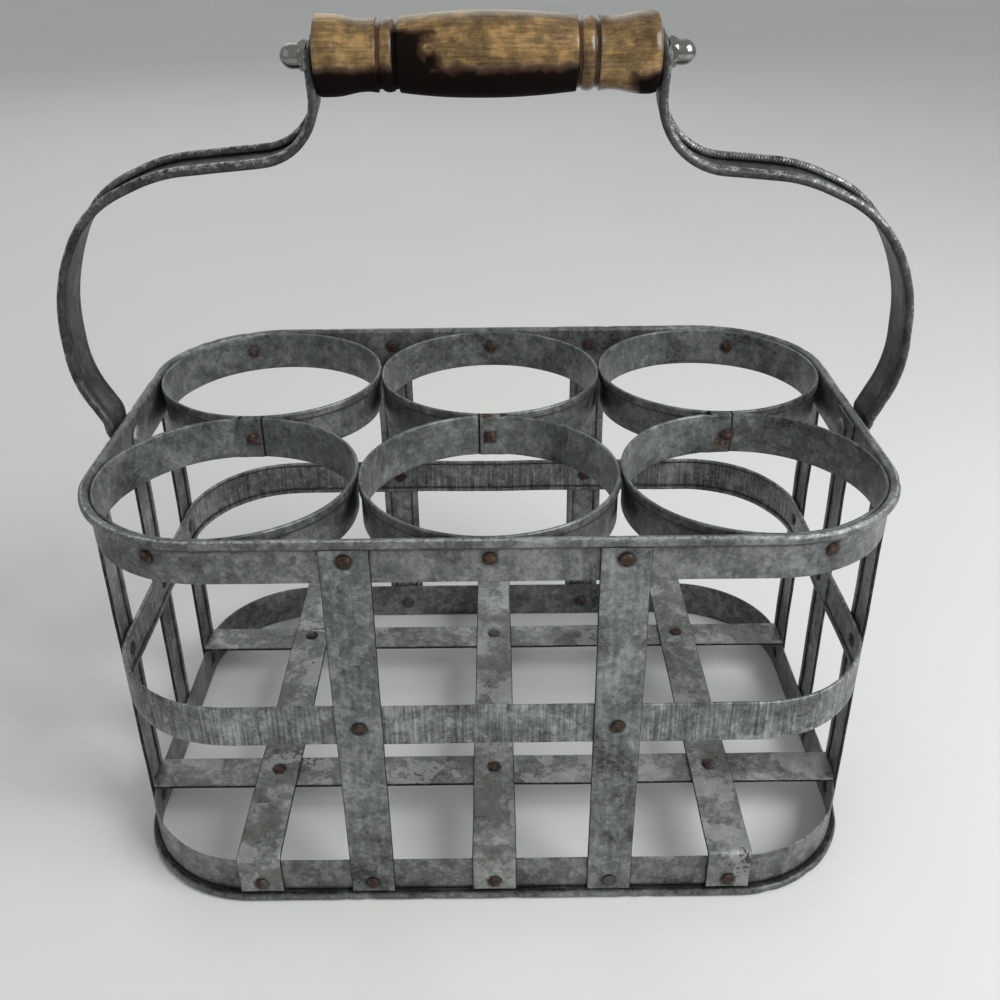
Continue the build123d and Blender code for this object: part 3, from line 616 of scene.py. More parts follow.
# Each finish: its name, its maker, and for zinc how bright, warm, streaked and striated it is, where in the
# pattern it lies and how stained it is
finishes = {
    "band_steel": ("Galvanised steel band", zinc, 0.97, 0.0, 0.15, 0.0, 0.9),
    "middle_steel": ("Galvanised steel middle band", zinc, 1.17, 0.0, 0.2, 0.55, 0.77),
    "ring_steel": ("Galvanised steel ring", zinc, 0.9, -0.01, 0.08, 0.0, 0.23),
    "strap_steel": ("Galvanised steel strap", zinc, 1.12, 0.0, 0.3, 0.0, 1.91),
    "floor_steel": ("Galvanised steel floor strap", zinc, 1.27, 0.015, 0.1, 0.0, 0.51, 0.6),
    # The handle straps' zinc is made less than half as bright as the rest, as painted shade
    "handle_steel": ("Galvanised steel handle strap", zinc, 0.42, 0.0, 0.2, 0.0, 0.67),
    "pivot_steel": ("Steel pivot rivet", zinc, 1.25, 0.0, 0.0, 0.0, 0.81),
    "rusted_rivet": ("Rusted iron rivet", rusted_iron),
    "bright_steel": ("Nickel-plated steel", nickel_plate),
    "hidden_wire": ("Drawn iron wire", drawn_wire),
    "turned_wood": ("Turned varnished wood", varnished_wood),
    "floor": ("Matt painted board", painted_board),
}
made_materials = {}


def material(key):
    """The material of a finish, made once."""
    if key not in made_materials:
        name, maker, *options = finishes[key]
        made = made_materials[key] = bpy.data.materials.new(name)
        made.use_nodes = True
        tree = made.node_tree
        tree.nodes.clear()
        shader = node(tree, "ShaderNodeBsdfPrincipled", maker(tree, *options))
        node(tree, "ShaderNodeOutputMaterial", {0: shader})
    return made_materials[key]


# Bands

def beaded_section(height):
    """Outline of a band with its far edge rolled outwards round a wire, how worn each point is with a painted
    highlight along the bead, and where painted shade lies under the bead.
    """
    rolled = bead_radius - sheet / 2
    centre = (bead_radius, height - bead_radius)
    wall = line((sheet / 2, sheet / 2), (sheet / 2, centre[1]), wall_step)
    outline = sheet_outline(joined(wall, arc(centre, rolled, 180, -300, 26)), sheet)
    away = np.hypot(outline[:, 0] - centre[0], outline[:, 1] - centre[1])
    angle = np.degrees(np.arctan2(outline[:, 1] - centre[1], outline[:, 0] - centre[0]))
    on_bead = (away > bead_radius * 0.93) & (outline[:, 1] > centre[1] - bead_radius * 1.01)
    # Wear on the bead, with a painted highlight in a streak along it
    wear = np.where(on_bead, 0.25 + 0.85 * bell(angle - 66, 24), 0.06)
    # Painted shade on the bead's side towards the wall and on the wall next to the bead
    under = bell(outline[:, 1] - (centre[1] - bead_radius * 1.2), 1.1 * MM)
    painted_shade = np.where(on_bead, 0.95 * bell(angle + 78, 42), 1.1 * under * (outline[:, 0] > 0.4 * sheet))
    return outline, wear, painted_shade


def dented_bead(height, seed):
    """A change of section along the body: the bead swells, thins and carries small dents."""
    dents = np.random.default_rng(seed).uniform(0, 0.96, 26)
    pinned = np.array([sheet / 2, height - bead_radius])

    def shape(section, run):
        local = section.copy()
        in_bead = local[:, 1] > height - 2 * bead_radius
        dent = sum(bell(run - place, 2.2 * MM) for place in dents)
        small = 1 - 0.035 * (0.5 + 0.5 * wander(run, 1.0, 31 * MM, seed)) - 0.09 * min(1, dent)
        local[in_bead] = ((local - pinned) * small + pinned)[in_bead]
        bend = wander(run, 0.10 * MM, 47 * MM, seed + 1)
        local[:, 0] += bend * np.clip(1 - local[:, 0] / bead_radius, 0, 1)
        return local
    return shape


def lap_tongue(piece, low, high):
    """A band's hidden end, inside the right wall behind the handle pivot."""
    sizes = bpy.context.scene.carrier_sizes
    inside = -sheet / 2 - 0.02 * MM
    middle = line((inside, low + sheet / 2), (inside, high - sheet / 2), 2.5 * MM)
    outline = sheet_outline(middle, sheet * 0.92)
    places = [(place,) for place in np.linspace(sizes.lap_back, -sizes.lap_front, 12)]
    grid, strip = swept(places, outline, lambda y: (half_width + outline[:, 0], y, outline[:, 1]))
    piece.add(grid, strip, wear=0.3)


low_hem, high_hem = 2.6 * MM, 1.8 * MM


class CARRIER_OT_bands(bpy.types.Operator):
    """Make the rim band, the middle band and the base band"""
    bl_idname = "carrier.bands"
    bl_label = "Bands"

    def execute(self, context):
        gap = context.scene.carrier_sizes.seam_gap
        rim_low = rim_box[0].z
        height = rim_box[1].z - rim_low
        outline, wear, painted_shade = beaded_section(height)
        grid, strip = along_body(outline, gap, rim_low, dented_bead(height, 11))
        self.band("rim_band", grid, strip, wear, painted_shade, rim_low, rim_box[1].z - bead_radius, "band_steel")

        outline, wear, painted_shade = self.middle_section()
        grid, strip = along_body(outline, gap, 0, self.bowed)
        self.band("middle_band", grid, strip, wear, painted_shade, middle_box[0].z, middle_box[1].z, "middle_steel")

        # The base band is a beaded band upside down, its bead worn flat where it stands
        height = base_top + 0.15 * MM
        outline, wear, painted_shade = beaded_section(height)
        grid, strip = along_body(outline, gap, 0, dented_bead(height, 37))
        grid[..., 2] = np.maximum(base_top - grid[..., 2], 0)
        self.band("base_band", grid, strip, wear, painted_shade, 2 * bead_radius, base_top, "band_steel")
        for name in ("rim_wire", "base_wire"):
            dress(name, "hidden_wire")
        return {"FINISHED"}

    def band(self, name, grid, strip, wear, painted_shade, low, high, finish):
        """Build a band with its hidden end."""
        piece = Piece().add(grid, strip, wear, painted_shade)
        lap_tongue(piece, low, high)
        piece.build(name, "sheet", "basket", "band_steel", finish)

    def middle_section(self):
        """Outline of the middle band with both edges folded inwards, how worn each point is, and where
        painted shade lies along the folds.
        """
        low, high = middle_box[0].z, middle_box[1].z
        slit = bpy.context.scene.carrier_sizes.fold_slit / 2
        inner, outer, turn = -sheet / 2 - slit, sheet / 2, (sheet + slit) / 2
        hem_low, hem_high = low + low_hem, high - high_hem
        fold_low, fold_high = low + turn + sheet / 2, high - turn - sheet / 2
        fold_middle = (inner + outer) / 2
        outline = sheet_outline(joined(
            line((inner, hem_low), (inner, fold_low), fold_step),
            arc((fold_middle, fold_low), turn, 180, 180, 8),
            line((outer, fold_low), (outer, fold_high), wall_step),
            arc((fold_middle, fold_high), turn, 0, 180, 8),
            line((inner, fold_high), (inner, hem_high), fold_step),
        ), sheet * 0.94)
        edge = np.minimum(outline[:, 1] - low, high - outline[:, 1])
        wear = np.where(edge < 0.7 * MM, 0.6, 0.08)
        hem = np.where(outline[:, 1] < (low + high) / 2, hem_low, hem_high)
        # Painted shade in a line on the inside, where each fold's edge lies on the wall
        painted_shade = 0.9 * bell(outline[:, 1] - hem, 0.6 * MM) * (outline[:, 0] < 0.2 * MM)
        return outline, wear, painted_shade

    @staticmethod
    def bowed(section, run):
        """A slight bow of the middle band along the body."""
        local = section.copy()
        local[:, 1] += wander(run, 0.25 * MM, 90 * MM, 23)
        local[:, 0] += wander(run, 0.07 * MM, 38 * MM, 24) - 0.06 * MM
        return local


# Rings

ring_jog = 3.5 * MM
steady_run = 25 * MM


def ring_outline():
    """Outline of a ring's wall with its top edge folded outwards, how worn each point is with a painted
    highlight along the top edge, and where painted shade lies under the fold.
    """
    sizes = bpy.context.scene.carrier_sizes
    turn = (sheet + sizes.fold_slit / 2) / 2
    top = ring_top - sheet / 2 - turn
    inner, outer = sheet / 2, sheet / 2 + 2 * turn
    hem = ring_top - sizes.ring_hem
    outline = sheet_outline(joined(
        line((inner, ring_low + sheet / 2), (inner, top), long_step),
        arc((inner + turn, top), turn, 180, -180, 8),
        line((outer, top), (outer, hem), fold_step),
    ), sheet * 0.95)
    up = outline[:, 1]
    # Wear with a painted highlight along the top edge, and a little wear along the bottom edge
    wear = 0.05 + 0.55 * bell(up - ring_top, 0.7 * MM) + 0.25 * bell(up - ring_low, 0.5 * MM)
    # Painted shade in a line on the outside, under the fold's edge
    painted_shade = 0.8 * bell(up - hem, 0.5 * MM) * (outline[:, 0] > sheet)
    return outline, wear, painted_shade


class CARRIER_OT_rings(bpy.types.Operator):
    """Make the six bottle rings, each one strip whose ends overlap"""
    bl_idname = "carrier.rings"
    bl_label = "Bottle rings"

    def execute(self, context):
        number = 0
        for row_name, row in rows.items():
            for column_name in columns:
                number += 1
                self.ring(f"ring_{row_name}_{column_name}", row, column_name, number)
        return {"FINISHED"}

    def ring(self, name, row, column_name, number):
        """Build one ring: its start lies inside its end, beside the seam."""
        ring_lap = bpy.context.scene.carrier_sizes.ring_lap
        outline, wear, painted_shade = ring_outline()
        column = columns[column_name] * ring_pitch
        centre = Vector((column, row * ring_pitch / 2))
        seam = ring_seams[column_name]
        turn = (1 if seam > 0 else -1) * -row
        start = -row * pi / 2 + row * seam / ring_inner
        once_round = 2 * pi * ring_inner
        whole = once_round + ring_lap - 0.4 * MM
        runs = np.sort(np.concatenate([np.linspace(0, whole, 150),
                                       ring_lap + np.linspace(-0.5, ring_jog / MM + 0.5, 10) * MM,
                                       once_round + np.linspace(-1.6, 0.6, 9) * MM]))

        def place(run):
            opened = ease((run - ring_lap) / ring_jog)
            steady = ease(run / steady_run) * ease((whole - run) / steady_run)
            radius = ring_inner - sheet * (1 - opened)
            x = outline[:, 0] * opened + np.minimum(outline[:, 0], sheet * 0.98) * (1 - opened)
            wave = steady * wander(run, 0.10 * MM, 61 * MM, 100 + number) - 0.08 * MM
            lift = steady * wander(run, 0.10 * MM, 83 * MM, 200 + number) - 0.1 * MM
            sunk = 0.35 * MM * (1 - opened) * (outline[:, 1] > ring_rivet_z)
            angle = start + turn * run / ring_inner
            out = radius + x + wave * opened
            return centre.x + out * cos(angle), centre.y + out * sin(angle), outline[:, 1] + lift - sunk
        grid, strip = swept([(run,) for run in runs], outline, place)
        # A dark line painted down the ring where its end steps over its start: painted shade
        beside = np.abs(runs - once_round + 0.4 * MM) < 0.55 * MM
        stains = [((column, 0, ring_rivet_z), 4.5 * MM, 0.75)]
        if column_name == "middle":
            stains.append(((column - 1 * MM, 0, ring_top), 4.0 * MM, 1.0))
        if column_name == "right":
            stains.append(((column - 2 * MM, 0, ring_rivet_z - 3 * MM), 6.5 * MM, 0.9))
        ring = Piece().add(grid, strip, wear, np.maximum(painted_shade, 1.1 * beside[:, None]))
        ring.build(name, "sheet", "basket", "ring_steel", stains=stains)


# Straps

steady_end = 20 * MM


def hemmed_outline(width, bow=0.12 * MM):
    """Outline of a strap with both edges folded under, how worn each point is with a painted highlight on the
    folded edges, and where painted shade lies along the folds and sides.
    """
    sizes = bpy.context.scene.carrier_sizes
    slit = sizes.fold_slit / 2
    turn = (sheet + slit) / 2
    inner, outer = sheet / 2 - slit / 2, sheet * 1.5 + slit / 2
    half = width / 2 - sheet / 2 - turn
    hem = width / 2 - sizes.strap_hem + sheet / 2
    across = line((outer, -half), (outer, half), fold_step)
    across[:, 0] -= bow * (1 - (across[:, 1] / half) ** 2)
    outline = sheet_outline(joined(
        line((inner, -hem), (inner, -half), fold_step),
        arc(((inner + outer) / 2, -half), turn, 180, 180, 8),
        across,
        arc(((inner + outer) / 2, half), turn, 0, 180, 8),
        line((inner, half), (inner, hem), fold_step),
    ), sheet * 0.94)
    edge = width / 2 - np.abs(outline[:, 1])
    # Wear with a painted highlight on the outer side of the folded edges
    wear = np.where((edge < 0.9 * MM) & (outline[:, 0] > sheet * 0.7), 0.55, 0.08)
    # Painted shade on the inside where each fold ends, and on the folded sides, where the strap stands off
    # the band
    painted_shade = 0.95 * bell(np.abs(outline[:, 1]) - hem, 0.6 * MM) * (outline[:, 0] < sheet * 1.15)
    painted_shade = np.maximum(painted_shade, 1.0 * (edge < 0.45 * MM) * (outline[:, 0] < sheet * 1.75))
    return outline, wear, painted_shade


def wall_place(wall, along, across, out, z):
    """A point beside a flat wall: across runs along the wall, out away from it."""
    if wall in rows:
        return along + across, rows[wall] * (half_depth + out), z
    return sides[wall] * (half_width + out), along + across, z


def corner_place(side, row, across, out, z):
    """A point beside a corner: across is measured from the end of the side wall towards the corner."""
    turned = np.maximum(across, 0) / fold_radius
    radius = corner_radius + out
    x = side * (ring_pitch + radius * np.cos(turned))
    y = row * (ring_pitch / 2 + radius * np.sin(turned) + np.minimum(across, 0))
    return x, y, z


class CARRIER_OT_straps(bpy.types.Operator):
    """Make the ten upright straps with their folded edges"""
    bl_idname = "carrier.straps"
    bl_label = "Upright straps"

    def execute(self, context):
        names = [f"{row}_strap_{side}" for row in rows for side in sides]
        names += [f"{side}_strap_{place}" for side in sides for place in ("front", "centre", "back")]
        for number, name in enumerate(names):
            self.strap(name, number)
        return {"FINISHED"}

    def strap(self, name, number):
        """Build one strap, with more rows near its rivets, where the stains are."""
        low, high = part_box(name)
        wall, _, position = name.split("_")
        outline, wear, painted_shade = hemmed_outline(strap_width)
        heights = [np.linspace(low.z, high.z, 72)]
        near = np.linspace(-4.5, 4.5, 13) * MM
        heights += [level + near for level in (rim_rivet_z, middle_z, base_rivet_z)]
        heights = np.clip(np.unique(np.concatenate(heights)), low.z, high.z)

        def place(z):
            from_ends = ease((z - low.z) / steady_end) * ease((high.z - z) / steady_end)
            out = strap_seat + outline[:, 0] - 0.03 * MM
            out = out + wander(z, 0.18 * MM, 74 * MM, 300 + number) * from_ends
            narrow = 1 - 0.012 * (0.5 + 0.5 * wander(z, 1.0, 55 * MM, 330 + number))
            across = outline[:, 1] * narrow + wander(z, 0.15 * MM, 120 * MM, 360 + number) * from_ends
            if position in rows:
                return corner_place(sides[wall], rows[position], across, out, z)
            return wall_place(wall, (low.x + high.x) / 2 if wall in rows else 0.0, across, out, z)
        grid, strip = swept([(z,) for z in heights], outline, place)
        Piece().add(grid, strip, wear, painted_shade).build(name, "sheet", "basket", "strap_steel")


# Floor

half_tongue, tongue_low = 5.3 * MM, 5.0 * MM


class CARRIER_OT_floor(bpy.types.Operator):
    """Make the three floor straps and the two cross straps below them"""
    bl_idname = "carrier.floor_straps"
    bl_label = "Floor straps"

    def execute(self, context):
        for number, column in enumerate(columns):
            self.floor_strap(f"floor_strap_{column}", number)
        for number, row in enumerate(rows):
            self.cross_strap(f"cross_strap_{row}", rows[row], number)
        return {"FINISHED"}

    def floor_strap(self, name, number):
        """Build a strap from front to back, both ends bent down over the base band."""
        low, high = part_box(name)
        centre = (low.x + high.x) / 2
        outline, wear, painted_shade = hemmed_outline(high.x - low.x)
        bend = 2 * sheet
        seat = half_depth + strap_seat
        level = high.z - 2 * sheet
        tab = level - bend
        turns = (18, 36, 54, 72, 90)
        bends = [(bend * sin(radians(turn)), bend * cos(radians(turn)), turn) for turn in turns]
        path = [(-seat, z, -90.0) for z in np.linspace(low.z, tab, 10)]
        path += [(-seat + bend - beside, tab + up, turn - 90.0) for up, beside, turn in bends]
        path += [(y, level, 0.0) for y in np.linspace(-seat + bend, seat - bend, 90)[1:]]
        path += [(seat - bend + beside, level - bend + up, turn) for beside, up, turn in bends]
        path += [(seat, z, 90.0) for z in np.linspace(tab, low.z, 10)[1:]]
        runs = distances(np.array(path)[:, :2])

        def place(run, y, z, tilt):
            # The way out of the strip leans from the front, over the top, to the back
            out_y, out_z = sin(radians(tilt)), cos(radians(tilt))
            flat = ease((seat - abs(y)) / steady_run)
            out = outline[:, 0] + wander(run, 0.12 * MM, 66 * MM, 400 + number) * flat - 0.05 * MM * flat
            across = centre + outline[:, 1] + wander(run, 0.2 * MM, 130 * MM, 410 + number) * flat
            return across, y + out_y * out, z + out_z * out
        grid, strip = swept([(run, *point) for run, point in zip(runs, path)], outline, place)
        Piece().add(grid, strip, wear, painted_shade).build(name, "sheet", "basket", "floor_steel")

    def cross_strap(self, name, row, number):
        """Build a strap from left to right, with a narrow tongue bent down at each end."""
        centre = row * ring_pitch / 2
        outline, wear, painted_shade = hemmed_outline(strap_width)
        reach = np.concatenate([[half_width + sheet], np.linspace(half_width - 6 * MM, 0, 60)])
        reach = np.concatenate([-reach, reach[::-1][1:]])
        past = np.maximum(outline[:, 1] * row, 0)
        rim_line = ring_pitch + np.sqrt((corner_radius + sheet) ** 2 - past ** 2)

        def place(x):
            flat = ease((half_width - abs(x)) / steady_run)
            return (np.sign(x) * np.minimum(abs(x), rim_line),
                    centre + outline[:, 1] + wander(x + 1, 0.2 * MM, 130 * MM, 430 + number) * flat,
                    base_top + outline[:, 0] + wander(x + 1, 0.08 * MM, 66 * MM, 440 + number) * flat)
        piece = Piece().add(*swept([(x,) for x in reach], outline, place), wear, painted_shade)
        inner, outer = sheet + seat_gap / 2, 2 * sheet + seat_gap / 2
        top = base_top + 2 * sheet
        middle = rounded([(inner - 8 * MM, top - sheet / 2), ((inner + outer) / 2, top - sheet / 2),
                          ((inner + outer) / 2, tongue_low)], 1.2 * MM, 6)
        tongue = sheet_outline(middle, sheet * 0.94)
        for side in sides.values():
            places = [(across,) for across in np.linspace(-half_tongue, half_tongue, 14)]
            grid, strip = swept(places, tongue, lambda across: corner_place(side, row, across, *tongue.T))
            piece.add(grid, strip, wear=0.2)
        piece.build(name, "sheet", "basket", "floor_steel")


# Rivets

def on_wall(wall, along, z):
    """A rivet's place in a flat wall: a point on the bands' inner face and the way out."""
    if wall in rows:
        return Vector((along, rows[wall] * half_depth, z)), Vector((0, rows[wall], 0))
    return Vector((sides[wall] * half_width, along, z)), Vector((sides[wall], 0, 0))


def on_corner(side, row, z):
    """A rivet's place in a corner, where a ring meets the rim band."""
    out = Vector((side * sin(corner_rivet_angle), row * cos(corner_rivet_angle), 0))
    return Vector((side * ring_pitch, row * ring_pitch / 2, z)) + out * corner_radius, out


def middle_x(name):
    """The middle of a frame piece between left and right."""
    low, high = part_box(name)
    return (low.x + high.x) / 2


def rivet_places():
    """Every rivet: place, way out, depth of its tail (None where a ring hides it) and height of its head."""
    found = []
    walls = [(row, middle_x(f"{row}_strap_{side}")) for row in rows for side in sides]
    walls += [(side, place * ring_pitch / 2) for side in sides for place in (-1, 0, 1)]
    inset = corner_radius - ring_inner
    for row in rows:
        found.append((*on_wall(row, 0.0, rim_rivet_z), -inset, sheet))
        for side in sides.values():
            found.append((*on_corner(side, rows[row], rim_rivet_z), -inset, sheet))
    for wall, along in walls:
        lapped = -sheet if wall == "right" and along == 0 else 0
        if wall in rows or along != 0:
            found.append((*on_wall(wall, along, rim_rivet_z), 0 if wall in rows else None, strap_face))
        found.append((*on_wall(wall, along, middle_z), lapped, strap_face))
        found.append((*on_wall(wall, along, base_rivet_z), lapped, strap_face))
    for column in columns:
        x = middle_x(f"floor_strap_{column}")
        for row in rows.values():
            found.append((Vector((x, row * half_depth, base_rivet_z)), Vector((0, row, 0)), 0, strap_face))
            crossing = Vector((x, row * ring_pitch / 2, base_top))
            found.append((crossing, Vector((0, 0, 1)), sheet, 4 * sheet + seat_gap))
    for column in columns.values():
        seam = Vector((column * ring_pitch, 0, ring_rivet_z))
        found.append((seam, Vector((0, -1, 0)), -inset - sheet, inset + sheet))
    return found


def new_group(name, values, seed):
    """A geometry node group with named inputs, and the outputs that carry them."""
    tree = bpy.data.node_groups.new(name, "GeometryNodeTree")
    face = tree.interface
    face.new_socket("Geometry", in_out="INPUT", socket_type="NodeSocketGeometry")
    for key, value in [*values.items(), ("Seed", seed)]:
        kind = "NodeSocketInt" if key == "Seed" else "NodeSocketFloat"
        face.new_socket(key, in_out="INPUT", socket_type=kind).default_value = value
    face.new_socket("Geometry", in_out="OUTPUT", socket_type="NodeSocketGeometry")
    return tree, node(tree, "NodeGroupInput").outputs


def placed(tree, points, shape, turned, size, least, most, seed, finish):
    """A shape on each point, turned, sized with small random changes, made real and given its material."""
    drawn = node(tree, "FunctionNodeRandomValue", {0: least, 1: most, "Seed": seed}, data_type="FLOAT_VECTOR")
    size = node(tree, "ShaderNodeVectorMath", {0: size, 1: drawn}, operation="MULTIPLY")
    made = node(tree, "GeometryNodeInstanceOnPoints",
                {"Points": points, "Instance": shape, "Rotation": turned, "Scale": size})
    made = node(tree, "GeometryNodeRealizeInstances", {0: made})
    return node(tree, "GeometryNodeSetMaterial", {"Geometry": made, "Material": finish})


def rivet_tree(finish):
    """Node group that puts a hammered dome on each point."""
    values = {"Fullness": 0.62, "Unevenness": 0.26 * MM, "Unevenness size": 1.7 * MM}
    tree, given = new_group("Rivet heads", values, 5)
    dome = node(tree, "GeometryNodeMeshUVSphere", {"Segments": 22, "Rings": 14, "Radius": 0.5})
    x, y, z = node(tree, "ShaderNodeSeparateXYZ", {0: node(tree, "GeometryNodeInputPosition")}).outputs
    up = node(tree, "ShaderNodeMath", {0: z, 1: 0.0}, operation="MAXIMUM")
    up = node(tree, "ShaderNodeMath", {0: up, 1: 2.0}, operation="MULTIPLY")
    up = node(tree, "ShaderNodeMath", {0: up, 1: given["Fullness"]}, operation="POWER")
    shaped = node(tree, "ShaderNodeCombineXYZ", {0: x, 1: y, 2: up})
    dome = node(tree, "GeometryNodeSetPosition", {"Geometry": dome, "Position": shaped})
    facing = node(tree, "GeometryNodeInputNamedAttribute", {"Name": "facing"}, data_type="FLOAT_VECTOR")
    wide = node(tree, "GeometryNodeInputNamedAttribute", {"Name": "diameter"}, data_type="FLOAT")
    rise = node(tree, "GeometryNodeInputNamedAttribute", {"Name": "rise"}, data_type="FLOAT")
    size = node(tree, "ShaderNodeCombineXYZ", {0: wide, 1: wide, 2: rise})
    turned = node(tree, "FunctionNodeAlignRotationToVector", {"Vector": facing}, axis="Z")
    heads = placed(tree, given["Geometry"], dome, turned, size, (0.93, 0.93, 0.86), (1.0, 1.0, 1.0),
                   given["Seed"], finish)
    grain = given["Unevenness size"]
    spread = node(tree, "ShaderNodeCombineXYZ", {0: grain, 1: grain, 2: grain})
    near = node(tree, "ShaderNodeVectorMath", {0: node(tree, "GeometryNodeInputPosition"), 1: spread},
                operation="DIVIDE")
    uneven = node(tree, "ShaderNodeTexNoise", {0: near, "Scale": 1.0, "Detail": 2.0})
    uneven = node(tree, "ShaderNodeMath", {0: uneven, 1: 0.62}, operation="SUBTRACT")
    uneven = node(tree, "ShaderNodeMath", {0: uneven, 1: given["Unevenness"]}, operation="MULTIPLY")
    push = node(tree, "ShaderNodeVectorMath", {0: node(tree, "GeometryNodeInputNormal"), "Scale": uneven},
                operation="SCALE")
    heads = node(tree, "GeometryNodeSetPosition", {"Geometry": heads, "Offset": push})
    node(tree, "NodeGroupOutput", {0: heads})
    return tree


def applied(name, mesh, tree, settings):
    """The plain mesh that a node group makes of a mesh, with its named inputs set."""
    carrier = bpy.data.objects.new(name, mesh)
    bpy.context.scene.collection.objects.link(carrier)
    modifier = carrier.modifiers.new("Nodes", "NODES")
    modifier.node_group = tree
    for item in tree.interface.items_tree:
        if item.in_out == "INPUT" and item.name in settings:
            modifier[item.identifier] = settings[item.name]
    graph = bpy.context.evaluated_depsgraph_get()
    result = bpy.data.meshes.new_from_object(carrier.evaluated_get(graph))
    result.name = name
    bpy.data.objects.remove(carrier)
    return result


class CARRIER_OT_rivets(bpy.types.Operator):
    """Put a hammered head and tail on every rivet of the basket"""
    bl_idname = "carrier.rivets"
    bl_label = "Rivets"

    def execute(self, context):
        sizes = context.scene.carrier_sizes
        heads = []
        for place, out, inner, outer in rivet_places():
            wide = sizes.rivet_head * (1.12 if out.z > 0.5 else 1)
            heads.append((place + out * outer, out, wide, sizes.rivet_rise))
            if inner is not None:
                heads.append((place + out * inner, -out, sizes.rivet_tail, sizes.tail_rise))
        points, facing, wide, rise = zip(*heads)
        mesh = bpy.data.meshes.new("rivet_points")
        mesh.from_pydata([tuple(point) for point in points], [], [])
        for key, values in (("facing", [tuple(way) for way in facing]), ("diameter", wide), ("rise", rise)):
            set_attribute(mesh, key, values)
        finish = material("rusted_rivet")
        made = applied("basket_rivets", mesh, rivet_tree(finish), {"Fullness": 0.62, "Seed": 5})
        nodes = ["ring_to_rim_rivets", "strap_to_rim_rivets", "ring_seam_rivets", "middle_band_rivets",
                 "base_band_rivets", "floor_end_rivets", "floor_crossing_rivets"]
        finish_piece(made, "basket_rivets", "basket", finish, nodes, 60)
        return {"FINISHED"}


# Lathe work

def turned_part(profile, start, way, z, steps, wear=0.0, painted_shade=0.0, ripple=None, caps=True):
    """A shape turned round an axis along X. The profile is (distance along the axis, radius)."""
    angles = np.linspace(0, 2 * pi, steps, endpoint=False)
    grid = np.zeros((len(profile), steps, 3))
    for index, (along, radius) in enumerate(profile):
        radii = max(radius, 1e-6) if ripple is None else ripple(along, radius, angles)
        grid[index, :, 0] = start + way * along
        grid[index, :, 1] = radii * np.cos(angles)
        grid[index, :, 2] = z + radii * np.sin(angles)
    marks = [np.broadcast_to(np.asarray(mark, float), (len(profile),))[:, None] for mark in (wear, painted_shade)]
    return Piece().add(grid, grid, *marks, caps=caps)


def span_of(name, way):
    """Where a piece on the left or right starts, seen from the middle, its length and its radius."""
    low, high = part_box(name)
    return (low.x if way > 0 else high.x), high.x - low.x, (high.z - low.z) / 2


pivot_head, pivot_rise, pivot_shank = 5.6 * MM, 1.9 * MM, 2.5 * MM
spacer_bore, spacer_edge = 2.6 * MM, 0.4 * MM


class CARRIER_OT_pivots(bpy.types.Operator):
    """Make the two large rivets that the handle turns on, and their spacers"""
    bl_idname = "carrier.pivots"
    bl_label = "Handle pivots"

    def execute(self, context):
        for side, way in sides.items():
            start, span, radius = span_of(f"pivot_rivet_{side}", way)
            turns = np.linspace(0.15, pi / 2, 9)
            dome = [(pivot_rise * (1 - cos(turn)), pivot_head * sin(turn) ** 0.7) for turn in turns]
            neck = pivot_rise + 0.05 * MM
            profile = [(0, 0), *dome, (neck, pivot_shank), (span - neck, pivot_shank)]
            profile += [(span - along, wide) for along, wide in dome[::-1]] + [(span, 0)]

            def hammered(along, radius, angles, way=way):
                uneven = 1 + 0.025 * np.sin(angles * 3 + way) + 0.015 * np.sin(angles * 5)
                return np.maximum(radius, 1e-6) * uneven
            rivet = turned_part(profile, start, way, pivot_z, 40, ripple=hammered)
            rivet.build(f"pivot_rivet_{side}", "turned", "basket", "strap_steel", "pivot_steel", 50)

            start, span, radius = span_of(f"pivot_spacer_{side}", way)
            profile = [(0, spacer_bore), (0, radius - spacer_edge), (spacer_edge, radius),
                       (span - spacer_edge, radius), (span, radius - spacer_edge), (span, spacer_bore),
                       (0, spacer_bore)]
            spacer = turned_part(rounded(profile, 0.2 * MM, 2), start, way, pivot_z, 48, wear=0.4, caps=False)
            spacer.build(f"pivot_spacer_{side}", "turned", "basket", "strap_steel", sharp=40)
        return {"FINISHED"}


# Handle straps: the same line of corners as in the solid model, as shares of its reach and height

arm_shares = {
    "left": [(1.000, 0.076, 0.59), (1.108, 0.200, 0.50), (1.106, 0.431, 0.48), (0.948, 0.648, 0.46),
             (0.637, 0.737, 0.30), (0.000, 0.772, 0.85)],
    "right": [(1.000, 0.058, 0.59), (1.105, 0.195, 0.50), (1.086, 0.432, 0.48), (0.917, 0.621, 0.46),
              (0.595, 0.711, 0.30), (0.000, 0.745, 0.85)],
}
foot_gap, end_gap = 0.1 * MM, 0.3 * MM
ridge_start, ridge_end = 7.0 * MM, 8.4 * MM
handle_half_width = 10.5 * MM
crimp_flank = radians(-118)

# Where a strap starts to lean and where the tool marks lie, as shares of its length
arm_lean, lean_from = 0.14, 0.33
crimp_from, crimp_to = 0.22, 0.86


